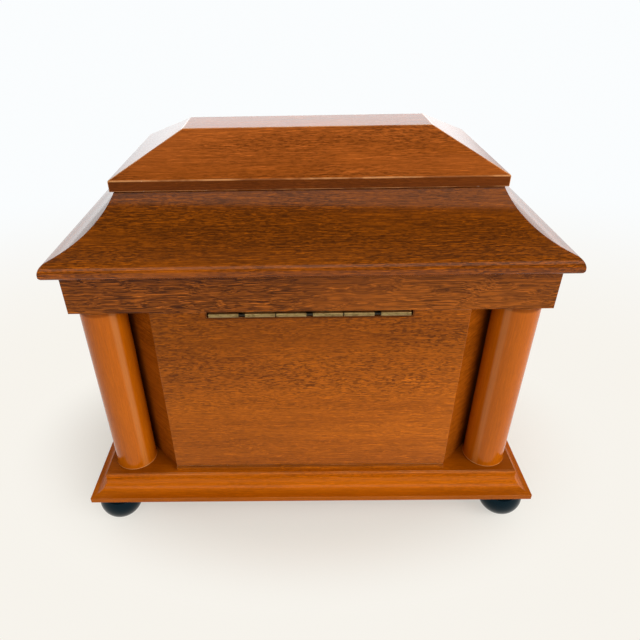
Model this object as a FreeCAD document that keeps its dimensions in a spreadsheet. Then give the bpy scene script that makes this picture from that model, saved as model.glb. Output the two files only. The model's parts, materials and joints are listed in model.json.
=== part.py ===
import FreeCAD, Part
import math
import os
import Sketcher

# Casket music box: a hip-topped lid on a strip hinge, corner columns on a moulded plinth with ball feet,
# and a cylinder movement under glass that is wound by a key below the base board.
# Millimetres, +Z up. The origin is on the ground under the middle of the box, the front faces -Y.

os.makedirs("parts", exist_ok=True)
doc = FreeCAD.newDocument("music_box")
sheet = doc.addObject("Spreadsheet::Sheet", "Sizes")

DRIVING_SIZES = {
    # Plan of the box: each tier is set in from the plinth's face by its own amount
    "plinth_width": 223.4,
    "plinth_depth": 138.0,
    "base_set_in": 7.3,
    "rim_set_in": 9.9,
    "panel_set_in": 10.2,
    "column_set_in": 20.6,
    "block_set_in": 30.3,
    "foot_set_in": 11.0,
    # Ball feet
    "foot_diameter": 22.0,
    "foot_flat": 6.0,
    "foot_height": 17.9,
    "foot_tenon_diameter": 6.0,
    "foot_tenon_length": 6.0,
    # Plinth moulding: a fillet below a quarter hollow
    "plinth_height": 9.1,
    "plinth_frame_width": 17.7,
    "plinth_edge_round": 0.8,
    "fillet_height": 3.4,
    # Base board
    "base_thickness": 4.0,
    "base_edge_chamfer": 0.6,
    # Case walls and columns
    "panel_height": 94.1,
    "panel_thickness": 8.0,
    "foot_bead_height": 2.6,
    "foot_bead_depth": 0.7,
    "corner_cut": 33.7,
    "column_diameter": 20.0,
    "column_flare": 0.4,
    "column_flare_height": 1.8,
    "column_tenon_diameter": 8.0,
    "column_tenon_length": 3.0,
    "column_top_gap": 0.5,
    # Lid
    "lid_gap": 0.3,
    "rim_height": 18.4,
    "rim_thickness": 8.0,
    "eave_overhang": 5.5,
    "eave_foot_run": 1.6,
    "eave_nose_height": 2.2,
    "eave_shoulder_run": 3.6,
    "eave_shoulder_height": 7.0,
    "eave_foot_radius": 2.0,
    "eave_shoulder_radius": 5.0,
    "cove_height": 27.1,
    "cove_run": 27.5,
    "cove_radius": 37.6,
    "cove_wall": 5.8,
    "band_height": 4.6,
    "hip_height": 14.0,
    "hip_run": 27.5,
    "lining_thickness": 3.0,
    "lining_recess": 2.3,
    # Strip hinge
    "barrel_diameter": 2.2,
    "hinge_pin_diameter": 1.0,
    "hinge_drop": 1.45,
    "leaf_thickness": 0.6,
    "leaf_width": 8.0,
    "knuckle_length": 12.6,
    "knuckle_window": 2.8,
    "knuckle_gap": 0.55,
    "hinge_end_room": 1.0,
    "hinge_screw_spacing": 28.55,
    "hinge_screw_inset": 5.0,
    "hinge_screw_diameter": 1.6,
    "hinge_screw_length": 6.0,
    # Inside of the case
    "partition_thickness": 6.0,
    "partition_drop": 13.4,
    "compartment_width": 88.5,
    "cleat_width": 6.0,
    "end_cleat_width": 14.0,
    "cleat_height": 6.0,
    "cleat_half_length": 22.0,
    "glass_drop": 17.4,
    "glass_thickness": 2.0,
    "glass_bearing": 2.0,
    "well_lining_thickness": 4.0,
    # Bedplate
    "bedplate_margin": 10.0,
    "bedplate_left": 45.0,
    "bedplate_right": 32.0,
    "bedplate_front": 34.0,
    "bedplate_back": 30.0,
    "bedplate_thickness": 3.0,
    "boss_height": 4.0,
    "boss_diameter": 7.0,
    "boss_inset_x": 10.0,
    "boss_inset_y": 5.0,
    "bedplate_corner": 8.0,
    "bed_screw_diameter": 2.6,
    "bed_screw_bite": 2.4,
    # Spring motor
    "motor_offset": 17.0,
    "housing_diameter": 28.0,
    "housing_height": 11.0,
    "housing_wall": 0.8,
    "spring_strip": 0.5,
    "spring_pitch": 1.9,
    "spring_inner_radius": 3.0,
    "spring_height": 8.6,
    "winding_arbor_diameter": 3.8,
    "crown_gap": 0.6,
    "crown_thickness": 1.8,
    "crown_tooth_height": 2.2,
    "crown_tooth_width": 1.2,
    "crown_outer_radius": 13.4,
    "crown_inner_radius": 10.5,
    "key_shank_diameter": 7.0,
    "key_shank_length": 9.0,
    "key_bow_width": 21.0,
    "key_bow_height": 10.0,
    "key_bow_thickness": 2.4,
    # Cylinder
    "axis_height": 20.9,
    "cylinder_left": 28.0,
    "cylinder_right": 0.6,
    "cylinder_radius": 6.5,
    "cylinder_wall": 1.0,
    "pin_height": 0.8,
    "pin_radius": 0.25,
    "arbor_diameter": 2.0,
    "running_clearance": 0.05,
    "bearing_thickness": 1.5,
    "bearing_radius": 4.0,
    "bearing_foot_width": 12.8,
    "pinion_width": 2.4,
    "pinion_tip_radius": 6.7,
    "pinion_root_radius": 4.7,
    "pinion_tip_width": 0.8,
    "pinion_root_width": 1.5,
    "wheel_width": 2.0,
    "wheel_tip_radius": 10.45,
    "wheel_root_radius": 9.4,
    "wheel_tip_width": 0.4,
    "wheel_root_width": 0.9,
    # Comb
    "comb_thickness": 1.2,
    "comb_tip_gap": 0.1,
    "comb_depth": 24.0,
    "comb_skew": 5.0,
    "comb_slot_length": 14.0,
    "comb_slot_width": 0.45,
    "comb_screw_diameter": 2.0,
    "comb_screw_length": 8.0,
    "comb_screw_spread": 16.3,
    "comb_screw_set_back": 3.0,
    # Governor
    "governor_offset": 12.6,
    "governor_arbor_diameter": 1.6,
    "governor_post_width": 5.4,
    "leaf_pinion_tip_radius": 2.95,
    "leaf_pinion_root_radius": 1.9,
    "leaf_pinion_tip_width": 0.36,
    "leaf_pinion_root_width": 0.8,
    "worm_wheel_tip_radius": 5.4,
    "worm_wheel_root_radius": 4.0,
    "worm_wheel_tip_width": 0.5,
    "worm_wheel_root_width": 0.9,
    "worm_wheel_width": 1.5,
    "worm_distance": 6.45,
    "worm_reach": 39.0,
    "worm_pitch": 2.513,
    "worm_root_radius": 1.0,
    "worm_tip_radius": 2.1,
    "worm_root_width": 1.0,
    "worm_tip_width": 0.4,
    "worm_turns": 3.0,
    "fly_span": 9.0,
    "fly_height": 9.0,
    "fly_thickness": 0.5,
    "fly_level": 3.5,
    "fly_arbor_diameter": 1.2,
    "bracket_thickness": 1.6,
    "bracket_width": 7.0,
    "bracket_reach": 6.0,
    "bracket_top": 28.4,
    # Stop
    "stop_rod_diameter": 2.0,
    "stop_rod_level": 5.0,
    "stop_button_diameter": 5.0,
    "stop_button_height": 2.5,
    # Clearances
    "seat_clearance": 0.1,
    "body_gap": 0.3,
    "end_shake": 0.5,
    "fly_clearance": 0.5,
    "stop_gap": 0.3,
}

PINION_TEETH = 12
CROWN_TEETH = 24
WHEEL_TEETH = 40
LEAF_PINION_TEETH = 10
WORM_WHEEL_TEETH = 12
COMB_TEETH = 18
PINS_PER_TRACK = 4
PIN_SIDES = 4
SPRING_HALF_TURNS = 8
SAW_OVERRUN = 1.0
TOOTH_OVERLAP = 0.25
PIN_TRACK_STEP = 83
PIN_SPACING = 72
PIN_SPREAD = 31
NECK_RATIO = 0.45
SCREW_HEAD_RATIO = 1.9
HINGE_PAIRS = 3
WORM_LEAD_IN = 1.25

for row, (alias, number) in enumerate(DRIVING_SIZES.items(), 1):
    sheet.set(f"A{row}", alias.replace("_", " "))
    sheet.set(f"B{row}", str(number))
    sheet.setAlias(f"B{row}", alias)
doc.recompute()


class Size:
    """A length worked out from the sheet: its number now, and the formula that binds it to the cells."""

    def __init__(self, number, formula):
        self.number = float(number)
        self.formula = formula

    def __add__(self, other):
        other = as_size(other)
        return Size(self.number + other.number, f"({self.formula} + {other.formula})")

    def __sub__(self, other):
        other = as_size(other)
        return Size(self.number - other.number, f"({self.formula} - {other.formula})")

    def __mul__(self, other):
        other = as_size(other)
        return Size(self.number * other.number, f"({self.formula} * {other.formula})")

    def __truediv__(self, other):
        other = as_size(other)
        return Size(self.number / other.number, f"({self.formula} / {other.formula})")

    def __radd__(self, other):
        return as_size(other) + self

    def __rsub__(self, other):
        return as_size(other) - self

    def __rmul__(self, other):
        return as_size(other) * self

    def __neg__(self):
        return Size(-self.number, f"(0 - {self.formula})")


def as_size(value):
    return value if isinstance(value, Size) else Size(value, f"({float(value)!r})")


def size(alias):
    return Size(sheet.get(alias), f"Sizes.{alias}")


def root(value):
    return Size(math.sqrt(value.number), f"sqrt({value.formula})")


def bind(thing, name, value):
    thing.setExpression(name, as_size(value).formula)


# Sketches: closed outlines of corners (x, y); a corner (x, y, radius, side) starts an arc to the next corner,
# with its centre to the left (1) or right (-1) of the way from one to the other. Holes are circles.

def hold(sketch, kind, *where, value):
    value = as_size(value)
    index = sketch.addConstraint(Sketcher.Constraint(kind, *where, value.number))
    sketch.setExpression(f"Constraints[{index}]", value.formula)


def hold_point(sketch, edge, end, x, y):
    for kind, axis, value in (("DistanceX", -2, as_size(x)), ("DistanceY", -1, as_size(y))):
        if value.formula == "(0.0)":
            sketch.addConstraint(Sketcher.Constraint("PointOnObject", edge, end, axis))
        else:
            hold(sketch, kind, -1, 1, edge, end, value=value)


def arc_between(start, end, radius, side):
    chord = end - start
    rise = math.sqrt(max(radius * radius - chord.Length * chord.Length / 4, 0))
    left = FreeCAD.Vector(-chord.y, chord.x, 0).normalize()
    centre = (start + end) / 2 + left * rise * side
    first, last = (start, end) if side > 0 else (end, start)
    angles = [math.atan2(point.y - centre.y, point.x - centre.x) for point in (first, last)]
    circle = Part.Circle(centre, FreeCAD.Vector(0, 0, 1), radius)
    return Part.ArcOfCircle(circle, angles[0], angles[1])


def add_outline(sketch, corners):
    points = [FreeCAD.Vector(as_size(c[0]).number, as_size(c[1]).number, 0) for c in corners]
    ends = []
    for number, corner in enumerate(corners):
        start = points[number]
        end = points[(number + 1) % len(points)]
        if len(corner) == 4:
            side = corner[3]
            edge = sketch.addGeometry(arc_between(start, end, as_size(corner[2]).number, side))
            ends.append((edge, 1, 2) if side > 0 else (edge, 2, 1))
        else:
            edge = sketch.addGeometry(Part.LineSegment(start, end))
            ends.append((edge, 1, 2))
    for number, corner in enumerate(corners):
        edge, head, tail = ends[number]
        before = ends[number - 1]
        sketch.addConstraint(Sketcher.Constraint("Coincident", before[0], before[2], edge, head))
        hold_point(sketch, edge, head, corner[0], corner[1])
    for number, corner in enumerate(corners):
        if len(corner) == 4:
            hold(sketch, "Radius", ends[number][0], value=corner[2])


def add_circle(sketch, x, y, radius):
    centre = FreeCAD.Vector(as_size(x).number, as_size(y).number, 0)
    edge = sketch.addGeometry(Part.Circle(centre, FreeCAD.Vector(0, 0, 1), as_size(radius).number))
    hold_point(sketch, edge, 3, x, y)
    hold(sketch, "Radius", edge, value=radius)


def draw(body, plane, outlines=(), circles=(), lift=None):
    sketch = body.newObject("Sketcher::SketchObject", body.Name + "_outline")
    support = next(feature for feature in body.Origin.OriginFeatures if feature.Role == plane)
    sketch.AttachmentSupport = [(support, "")]
    sketch.MapMode = "FlatFace"
    if lift is not None:
        bind(sketch, "AttachmentOffset.Base.z", lift)
    for corners in outlines:
        add_outline(sketch, corners)
    for x, y, radius in circles:
        add_circle(sketch, x, y, radius)
    return sketch


def rectangle(x0, y0, x1, y1):
    return [(x0, y0), (x1, y0), (x1, y1), (x0, y1)]


# Features: a pad runs along the plane's normal, which is +Z, -Y or +X, and a pocket against it.

def new_body(label):
    body = doc.addObject("PartDesign::Body", label)
    body.Label = label
    return body


def extrude(body, kind, sketch, length, both_ways, backwards):
    feature = body.newObject("PartDesign::" + kind, body.Name + "_" + kind.lower())
    feature.Profile = sketch
    feature.SideType = "Symmetric" if both_ways else "One side"
    feature.Reversed = backwards
    bind(feature, "Length", length)
    return feature


def pad(body, sketch, length, both_ways=False, backwards=False):
    return extrude(body, "Pad", sketch, length, both_ways, backwards)


def pocket(body, sketch, length, both_ways=False, backwards=False):
    return extrude(body, "Pocket", sketch, length, both_ways, backwards)


def turn(body, corners, plane="XZ_Plane", axis="V_Axis"):
    sketch = draw(body, plane, [corners])
    feature = body.newObject("PartDesign::Revolution", body.Name + "_turned")
    feature.Profile = sketch
    feature.ReferenceAxis = (sketch, [axis])
    feature.Angle = 360
    return feature


def ring_of(body, feature, axis, count):
    pattern = body.newObject("PartDesign::PolarPattern", body.Name + "_ring")
    pattern.Originals = [feature]
    line = next(item for item in body.Origin.OriginFeatures if item.Role == axis)
    pattern.Axis = (line, [""])
    pattern.Angle = 360
    pattern.Occurrences = count
    body.Tip = pattern
    return pattern


def add_teeth(body, root_radius, tip_radius, root_width, tip_width, width, count, lift):
    """A ring of trapezoid teeth about the X axis, with its root disc."""
    disc = draw(body, "YZ_Plane", circles=[(0, 0, root_radius)], lift=lift)
    pad(body, disc, width, both_ways=True)
    foot = root(root_radius * root_radius - root_width * root_width / 4) - TOOTH_OVERLAP
    tooth = [(foot, -root_width / 2), (tip_radius, -tip_width / 2), (tip_radius, tip_width / 2),
             (foot, root_width / 2)]
    sketch = draw(body, "YZ_Plane", [tooth], lift=lift)
    return ring_of(body, pad(body, sketch, width, both_ways=True), "X_Axis", count)


def move(thing, x, y, z, turned=0, about=(0, 0, 1)):
    rotation = FreeCAD.Rotation(FreeCAD.Vector(*about), turned)
    spot = [as_size(value) for value in (x, y, z)]
    base = FreeCAD.Vector(*[value.number for value in spot])
    thing.Placement = FreeCAD.Placement(base, rotation)
    for name, value in zip("xyz", spot):
        bind(thing, "Placement.Base." + name, value)


def place(thing, x, y, z, turned=0, about=(0, 0, 1)):
    """Puts a finished piece where it belongs in the box."""
    move(thing, x, y, z, turned, about)
    nodes.append(thing)


def group(label, solids):
    """Like pieces that share one node."""
    compound = doc.addObject("Part::Compound", label)
    compound.Label = label
    compound.Links = solids
    nodes.append(compound)


def screw_group(label, spots, head_radius, head_height, shank_radius, shank_length, up):
    """Identical round-headed screws in one node; up is 1 where the shanks point up, otherwise -1."""
    screws = []
    for x, y, z in spots:
        head = doc.addObject("Part::Cylinder", label + "_head")
        shank = doc.addObject("Part::Cylinder", label + "_shank")
        bind(head, "Radius", head_radius)
        bind(head, "Height", head_height)
        bind(shank, "Radius", shank_radius)
        bind(shank, "Height", shank_length + head_height / 2)
        levels = (-head_height, -head_height / 2) if up > 0 else (as_size(0), -shank_length)
        for solid, level in zip((head, shank), levels):
            move(solid, x, y, z + level)
        screw = doc.addObject("Part::Fuse", label + "_screw")
        screw.Base = head
        screw.Tool = shank
        screws.append(screw)
    group(label, screws)


nodes = []
clearance = size("seat_clearance")
running = size("running_clearance")
body_gap = size("body_gap")
end_shake = size("end_shake")

# Levels of the tiers above the ground
plinth_level = size("foot_height")
base_level = plinth_level + size("plinth_height")
ledge_level = base_level + size("base_thickness")
panel_top = ledge_level + size("panel_height")
rim_level = panel_top + size("lid_gap")
eave_level = rim_level + size("rim_height")
block_level = eave_level + size("cove_height")


def half_width(set_in):
    return size("plinth_width") / 2 - set_in


def half_depth(set_in):
    return size("plinth_depth") / 2 - set_in


# The four sides of the box: the turn of a piece drawn with its face towards +Y, and where its face lies
def side_places(set_in):
    return {
        "front": (180, 0, -half_depth(set_in), half_width(set_in)),
        "back": (0, 0, half_depth(set_in), half_width(set_in)),
        "left": (90, -half_width(set_in), 0, half_depth(set_in)),
        "right": (-90, half_width(set_in), 0, half_depth(set_in)),
    }


CORNERS = {"front_left": (-1, -1), "front_right": (1, -1), "back_left": (-1, 1), "back_right": (1, 1)}


def mitred_run(body, section, half_run, section_depth, section_height):
    """A moulding run whose face line is 2 half_run long, sawn at 45 degrees at both ends."""
    pad(body, draw(body, "YZ_Plane", [section]), half_run * 2, both_ways=True)
    far = half_run + SAW_OVERRUN
    near = half_run - section_depth - SAW_OVERRUN
    back = -section_depth - SAW_OVERRUN
    waste = [[(far * way, SAW_OVERRUN), (near * way, back), (far * way, back)] for way in (1, -1)]
    cut = draw(body, "XY_Plane", waste)
    pocket(body, cut, (section_height + SAW_OVERRUN) * 2, both_ways=True)


# Plinth moulding: a fillet with rounded corner below a hollow that runs up flush into the base board's edge,
# mitred, with a bored corner for each foot tenon
frame_width = size("plinth_frame_width")
edge_round = size("plinth_edge_round")
hollow_radius = size("plinth_height") - size("fillet_height")
hollow_foot = size("base_set_in") - hollow_radius
tenon_bore = size("foot_tenon_diameter") / 2 + clearance
plinth_section = [
    (-frame_width, 0),
    (-edge_round, 0, edge_round, 1),
    (0, edge_round),
    (0, size("fillet_height")),
    (-hollow_foot, size("fillet_height"), hollow_radius, -1),
    (-size("base_set_in"), size("plinth_height")),
    (-frame_width, size("plinth_height")),
]
for side, (turned, x, y, half_run) in side_places(as_size(0)).items():
    moulding = new_body("plinth_" + side)
    mitred_run(moulding, plinth_section, half_run, frame_width, size("plinth_height"))
    bores = [((half_run - size("foot_set_in")) * way, -size("foot_set_in"), tenon_bore) for way in (1, -1)]
    sketch = draw(moulding, "XY_Plane", circles=bores)
    pocket(moulding, sketch, size("foot_tenon_length") + clearance, backwards=True)
    place(moulding, x, y, plinth_level, turned)

# Ball feet: turned, flat where they stand and where they meet the plinth, with a tenon
ball = size("foot_diameter") / 2
flat = size("foot_flat") / 2
ball_centre = root(ball * ball - flat * flat)
seat_rise = plinth_level - ball_centre
seat = root(ball * ball - seat_rise * seat_rise)
tenon = size("foot_tenon_diameter") / 2
tenon_top = plinth_level + size("foot_tenon_length")
for corner, (way_x, way_y) in CORNERS.items():
    foot = new_body("foot_" + corner)
    turn(foot, [(0, 0), (flat, 0, ball, 1), (seat, plinth_level), (tenon, plinth_level), (tenon, tenon_top),
                (0, tenon_top)])
    place(foot, half_width(size("foot_set_in")) * way_x, half_depth(size("foot_set_in")) * way_y, 0)

# Places of the movement: its own origin is on the bedplate's top, under the cylinder's axis
inner_half_width = half_width(size("panel_set_in")) - size("panel_thickness")
inner_half_depth = half_depth(size("panel_set_in")) - size("panel_thickness")
movement_x = -inner_half_width + size("bedplate_margin") + size("bedplate_left")
bed_level = ledge_level + size("boss_height") + size("bedplate_thickness")
axis_level = bed_level + size("axis_height")
motor_x = movement_x + size("motor_offset")
bed_left, bed_right = -size("bedplate_left"), size("bedplate_right")
bed_front, bed_back = -size("bedplate_front"), size("bedplate_back")
boss_spots = [(x, y) for x in (bed_left + size("boss_inset_x"), bed_right - size("boss_inset_x"))
              for y in (bed_front + size("boss_inset_y"), bed_back - size("boss_inset_y"))]

# Base board: eased upper edge, blind holes for the column tenons, holes for the arbor and bedplate screws
base_x = half_width(size("base_set_in"))
base_y = half_depth(size("base_set_in"))
column_x = half_width(size("column_set_in"))
column_y = half_depth(size("column_set_in"))
bed_screw = size("bed_screw_diameter") / 2
base_board = new_body("base_board")
board = pad(base_board, draw(base_board, "XY_Plane", [rectangle(-base_x, -base_y, base_x, base_y)]),
            size("base_thickness"))
doc.recompute()
top_edges = [f"Edge{number}" for number, edge in enumerate(board.Shape.Edges, 1)
             if min(vertex.Z for vertex in edge.Vertexes) > DRIVING_SIZES["base_thickness"] / 2]
eased = base_board.newObject("PartDesign::Chamfer", "base_edge")
eased.Base = (board, top_edges)
bind(eased, "Size", size("base_edge_chamfer"))
column_bore = size("column_tenon_diameter") / 2 + clearance
sockets = [(column_x * way_x, column_y * way_y, column_bore) for way_x, way_y in CORNERS.values()]
socket_sketch = draw(base_board, "XY_Plane", circles=sockets, lift=size("base_thickness"))
pocket(base_board, socket_sketch, size("column_tenon_length") + clearance)
drillings = [(movement_x + x, y, bed_screw + clearance) for x, y in boss_spots]
drillings.append((motor_x, 0, size("key_shank_diameter") / 2))
drill_sketch = draw(base_board, "XY_Plane", circles=drillings)
pocket(base_board, drill_sketch, size("base_thickness") * 2 + SAW_OVERRUN, both_ways=True)
place(base_board, 0, 0, base_level)

# Case walls: four boards on the base with a bead along the foot; the back one is notched for the hinge
# and drilled for its screws
thickness = size("panel_thickness")
panel_height = size("panel_height")
knuckle_pair = size("knuckle_length") * 2 + size("knuckle_window") + size("knuckle_gap")
hinge_half = (knuckle_pair * HINGE_PAIRS - size("knuckle_gap")) / 2
hinge_y = half_depth(size("rim_set_in"))
hinge_z = rim_level - size("hinge_drop")
notch_half = hinge_half + size("hinge_end_room")
notch_floor = hinge_z - size("hinge_drop") - ledge_level
hinge_screw = size("hinge_screw_diameter") / 2
screw_columns = [size("hinge_screw_spacing") * step for step in (-1, 1)]
screw_row = hinge_y - size("hinge_screw_inset")
bead = size("foot_bead_depth")
bead_top = size("foot_bead_height")
bead_section = [(-bead, 0), (bead, 0), (bead, bead_top - bead, bead, 1), (0, bead_top), (-bead, bead_top)]
for side, (turned, x, y, half_run) in side_places(size("panel_set_in")).items():
    wall = new_body("panel_" + side)
    half = half_run - size("corner_cut")
    outline = rectangle(-half, 0, half, panel_height)
    if side == "back":
        outline[2:] = [(half, panel_height), (notch_half, panel_height), (notch_half, notch_floor),
                       (-notch_half, notch_floor), (-notch_half, panel_height), (-half, panel_height)]
    pad(wall, draw(wall, "XZ_Plane", [outline]), thickness)
    pad(wall, draw(wall, "YZ_Plane", [bead_section]), half * 2, both_ways=True)
    if side == "back":
        holes = [(column, screw_row - y, hinge_screw + running) for column in screw_columns]
        sketch = draw(wall, "XY_Plane", circles=holes, lift=notch_floor)
        pocket(wall, sketch, size("hinge_screw_length") + clearance)
    place(wall, x, y, ledge_level, turned)

# Canted corner boards just behind the columns, butted against the ends of the walls
wall_x = half_width(size("panel_set_in"))
wall_y = half_depth(size("panel_set_in"))
cut = size("corner_cut")
shaft = size("column_diameter") / 2
flare = shaft + size("column_flare")
cant_line = column_x + column_y - (flare + clearance) * math.sqrt(2)
cant_depth = thickness * math.sqrt(2)
for corner, (way_x, way_y) in CORNERS.items():
    cant = new_body("cant_" + corner)
    near_x, near_y = wall_x - cut, wall_y - cut
    far_x, far_y = cant_line - near_y, cant_line - near_x
    plan = [(near_x, far_y), (far_x, near_y), (far_x - cant_depth, near_y), (near_x, far_y - cant_depth)]
    plan = [(px * way_x, py * way_y) for px, py in plan]
    pad(cant, draw(cant, "XY_Plane", [plan]), panel_height)
    place(cant, 0, 0, ledge_level)

# Corner columns: turned dowel with a small flare at the foot and a tenon in the base board
column_tenon = size("column_tenon_diameter") / 2
column_height = panel_height - size("column_top_gap")
for corner, (way_x, way_y) in CORNERS.items():
    column = new_body("column_" + corner)
    turn(column, [(0, -size("column_tenon_length")), (column_tenon, -size("column_tenon_length")),
                  (column_tenon, 0), (flare, 0), (flare, size("column_flare_height") / 3),
                  (shaft, size("column_flare_height")), (shaft, column_height), (0, column_height)])
    place(column, column_x * way_x, column_y * way_y, ledge_level)

# Partition, and the cleats that the glass over the movement rests on
compartment_right = -inner_half_width + size("compartment_width")
partition = doc.addObject("Part::Box", "partition")
bind(partition, "Length", size("partition_thickness"))
bind(partition, "Width", (inner_half_depth - clearance) * 2)
bind(partition, "Height", panel_height - size("partition_drop"))
place(partition, compartment_right, -inner_half_depth + clearance, ledge_level)

glass_level = panel_top - size("glass_drop")
cleat_level = glass_level - size("cleat_height")
worm_x = movement_x - size("worm_reach")
worm_y = size("governor_offset") + size("worm_distance")
stop_rod = size("stop_rod_diameter") / 2
stop_x = worm_x - size("fly_span") / 2 - size("fly_clearance") - stop_rod
end_cleat = new_body("end_cleat")
cleat_half = size("cleat_half_length")
cleat_plan = rectangle(0, -cleat_half, size("end_cleat_width"), cleat_half)
stop_hole = (stop_x + inner_half_width, worm_y, stop_rod + running)
pad(end_cleat, draw(end_cleat, "XY_Plane", [cleat_plan], [stop_hole]), size("cleat_height"))
move(end_cleat, -inner_half_width, 0, cleat_level)
partition_cleat = doc.addObject("Part::Box", "partition_cleat")
bind(partition_cleat, "Length", size("cleat_width"))
bind(partition_cleat, "Width", (inner_half_depth - clearance) * 2)
bind(partition_cleat, "Height", size("cleat_height"))
move(partition_cleat, compartment_right - size("cleat_width"), -inner_half_depth + clearance, cleat_level)
group("glass_cleats", [end_cleat, partition_cleat])

# Glass pane with its two corners cut to the cants
glass_left = -inner_half_width + size("end_cleat_width") - size("glass_bearing")
glass_right = compartment_right - clearance
glass_half = inner_half_depth - body_gap
cant_sum = cant_line - cant_depth
glass_sum = cant_sum - body_gap * 2
glass_near = glass_sum + glass_left
glass_pane = new_body("glass_pane")
pane = [(glass_left, -glass_near), (-(glass_sum - glass_half), -glass_half), (glass_right, -glass_half),
        (glass_right, glass_half), (-(glass_sum - glass_half), glass_half), (glass_left, glass_near)]
pad(glass_pane, draw(glass_pane, "XY_Plane", [pane]), size("glass_thickness"))
place(glass_pane, 0, 0, glass_level)

# Lined board on the floor of the jewellery well, cut to the walls and cants
well_left = compartment_right + size("partition_thickness") + body_gap
well_right = inner_half_width - body_gap
well_y = inner_half_depth - body_gap
well_near_x = wall_x - cut - body_gap
well_near_y = wall_y - cut - body_gap
well_sum = cant_sum - body_gap * 2
half_plan = [(well_right, well_near_y), (well_sum - well_near_y, well_near_y),
             (well_near_x, well_sum - well_near_x), (well_near_x, well_y), (well_left, well_y)]
well_plan = half_plan + [(px, -py) for px, py in reversed(half_plan)]
well_lining = new_body("well_lining_board")
pad(well_lining, draw(well_lining, "XY_Plane", [well_plan]), size("well_lining_thickness"))
place(well_lining, 0, 0, ledge_level)

# Strip hinge: two cranked leaves whose knuckles take turns along one pin
barrel = size("barrel_diameter") / 2
drop = size("hinge_drop")
neck = barrel * NECK_RATIO
neck_rise = root(barrel * barrel - neck * neck)
pin_bore = size("hinge_pin_diameter") / 2 + running


def hinge_leaf(label, way, first_knuckle):
    """A leaf whose plate lies above (1) or below (-1) the pin, cut back clear of the other leaf's knuckles."""
    leaf = new_body(label)
    inside = size("leaf_thickness") - drop
    plate_edge = -barrel - clearance
    strap_end = plate_edge - size("leaf_thickness")
    plate = rectangle(-size("leaf_width"), -drop, plate_edge, inside)
    knuckle = [(-neck, -neck_rise, barrel, 1), (barrel, 0, barrel, 1), (0, barrel, barrel, 1), (-barrel, 0),
               (-barrel, inside), (strap_end, inside), (strap_end, -drop), (-neck, -drop)]
    if way > 0:
        plate = [(py, -pz) for py, pz in plate]
        knuckle = [(py, -pz) + ((arc[0], -1) if arc else ()) for py, pz, *arc in knuckle]
    pad(leaf, draw(leaf, "YZ_Plane", [plate]), hinge_half * 2, both_ways=True)
    for pair in range(HINGE_PAIRS):
        sketch = draw(leaf, "YZ_Plane", [knuckle], lift=first_knuckle - knuckle_pair * pair)
        pad(leaf, sketch, size("knuckle_length"), backwards=True)
    pocket(leaf, draw(leaf, "YZ_Plane", circles=[(0, 0, pin_bore)]), hinge_half * 4, both_ways=True)
    holes = [(column, -size("hinge_screw_inset"), hinge_screw + clearance) for column in screw_columns]
    pocket(leaf, draw(leaf, "XY_Plane", circles=holes), drop * 4, both_ways=True)
    place(leaf, 0, hinge_y, hinge_z)


hinge_leaf("hinge_leaf_case", -1, hinge_half)
hinge_leaf("hinge_leaf_lid", 1, hinge_half - size("knuckle_length") - size("knuckle_window"))
hinge_pin = doc.addObject("Part::Cylinder", "hinge_pin")
bind(hinge_pin, "Radius", size("hinge_pin_diameter") / 2)
bind(hinge_pin, "Height", hinge_half * 2)
place(hinge_pin, -hinge_half, hinge_y, hinge_z, 90, (0, 1, 0))
leaf_inside = drop - size("leaf_thickness")
head = hinge_screw * SCREW_HEAD_RATIO
head_height = size("leaf_thickness")
screw_reach = size("hinge_screw_length") + size("leaf_thickness")
screw_group("hinge_screws_case", [(column, screw_row, hinge_z - leaf_inside) for column in screw_columns],
            head, head_height, hinge_screw, screw_reach, -1)
screw_group("hinge_screws_lid", [(column, screw_row, hinge_z + leaf_inside) for column in screw_columns],
            head, head_height, hinge_screw, screw_reach, 1)

# Lid rim: four mitred boards; the back one is drilled for the hinge screws
rim_thickness = size("rim_thickness")
rim_section = rectangle(-rim_thickness, 0, 0, size("rim_height"))
for side, (turned, x, y, half_run) in side_places(size("rim_set_in")).items():
    rim = new_body("rim_" + side)
    mitred_run(rim, rim_section, half_run, rim_thickness, size("rim_height"))
    if side == "back":
        holes = [(column, screw_row - y, hinge_screw + running) for column in screw_columns]
        sketch = draw(rim, "XY_Plane", circles=holes)
        pocket(rim, sketch, size("hinge_screw_length") + clearance, backwards=True)
    place(rim, x, y, rim_level, turned)

# Cove moulding: a bullnose eave under a deep hollow, mitred; its back slopes from the rim to the block
cove_foot = size("eave_overhang") + rim_thickness
cove_back = size("cove_run") + size("cove_wall")
cove_section = [
    (-cove_foot, 0),
    (-size("eave_foot_run"), 0, size("eave_foot_radius"), 1),
    (0, size("eave_nose_height"), size("eave_shoulder_radius"), 1),
    (-size("eave_shoulder_run"), size("eave_shoulder_height"), size("cove_radius"), -1),
    (-size("cove_run"), size("cove_height")),
    (-cove_back, size("cove_height")),
]
for side, (turned, x, y, half_run) in side_places(size("rim_set_in") - size("eave_overhang")).items():
    cove = new_body("cove_" + side)
    mitred_run(cove, cove_section, half_run, cove_back, size("cove_height"))
    place(cove, x, y, eave_level, turned)

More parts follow.
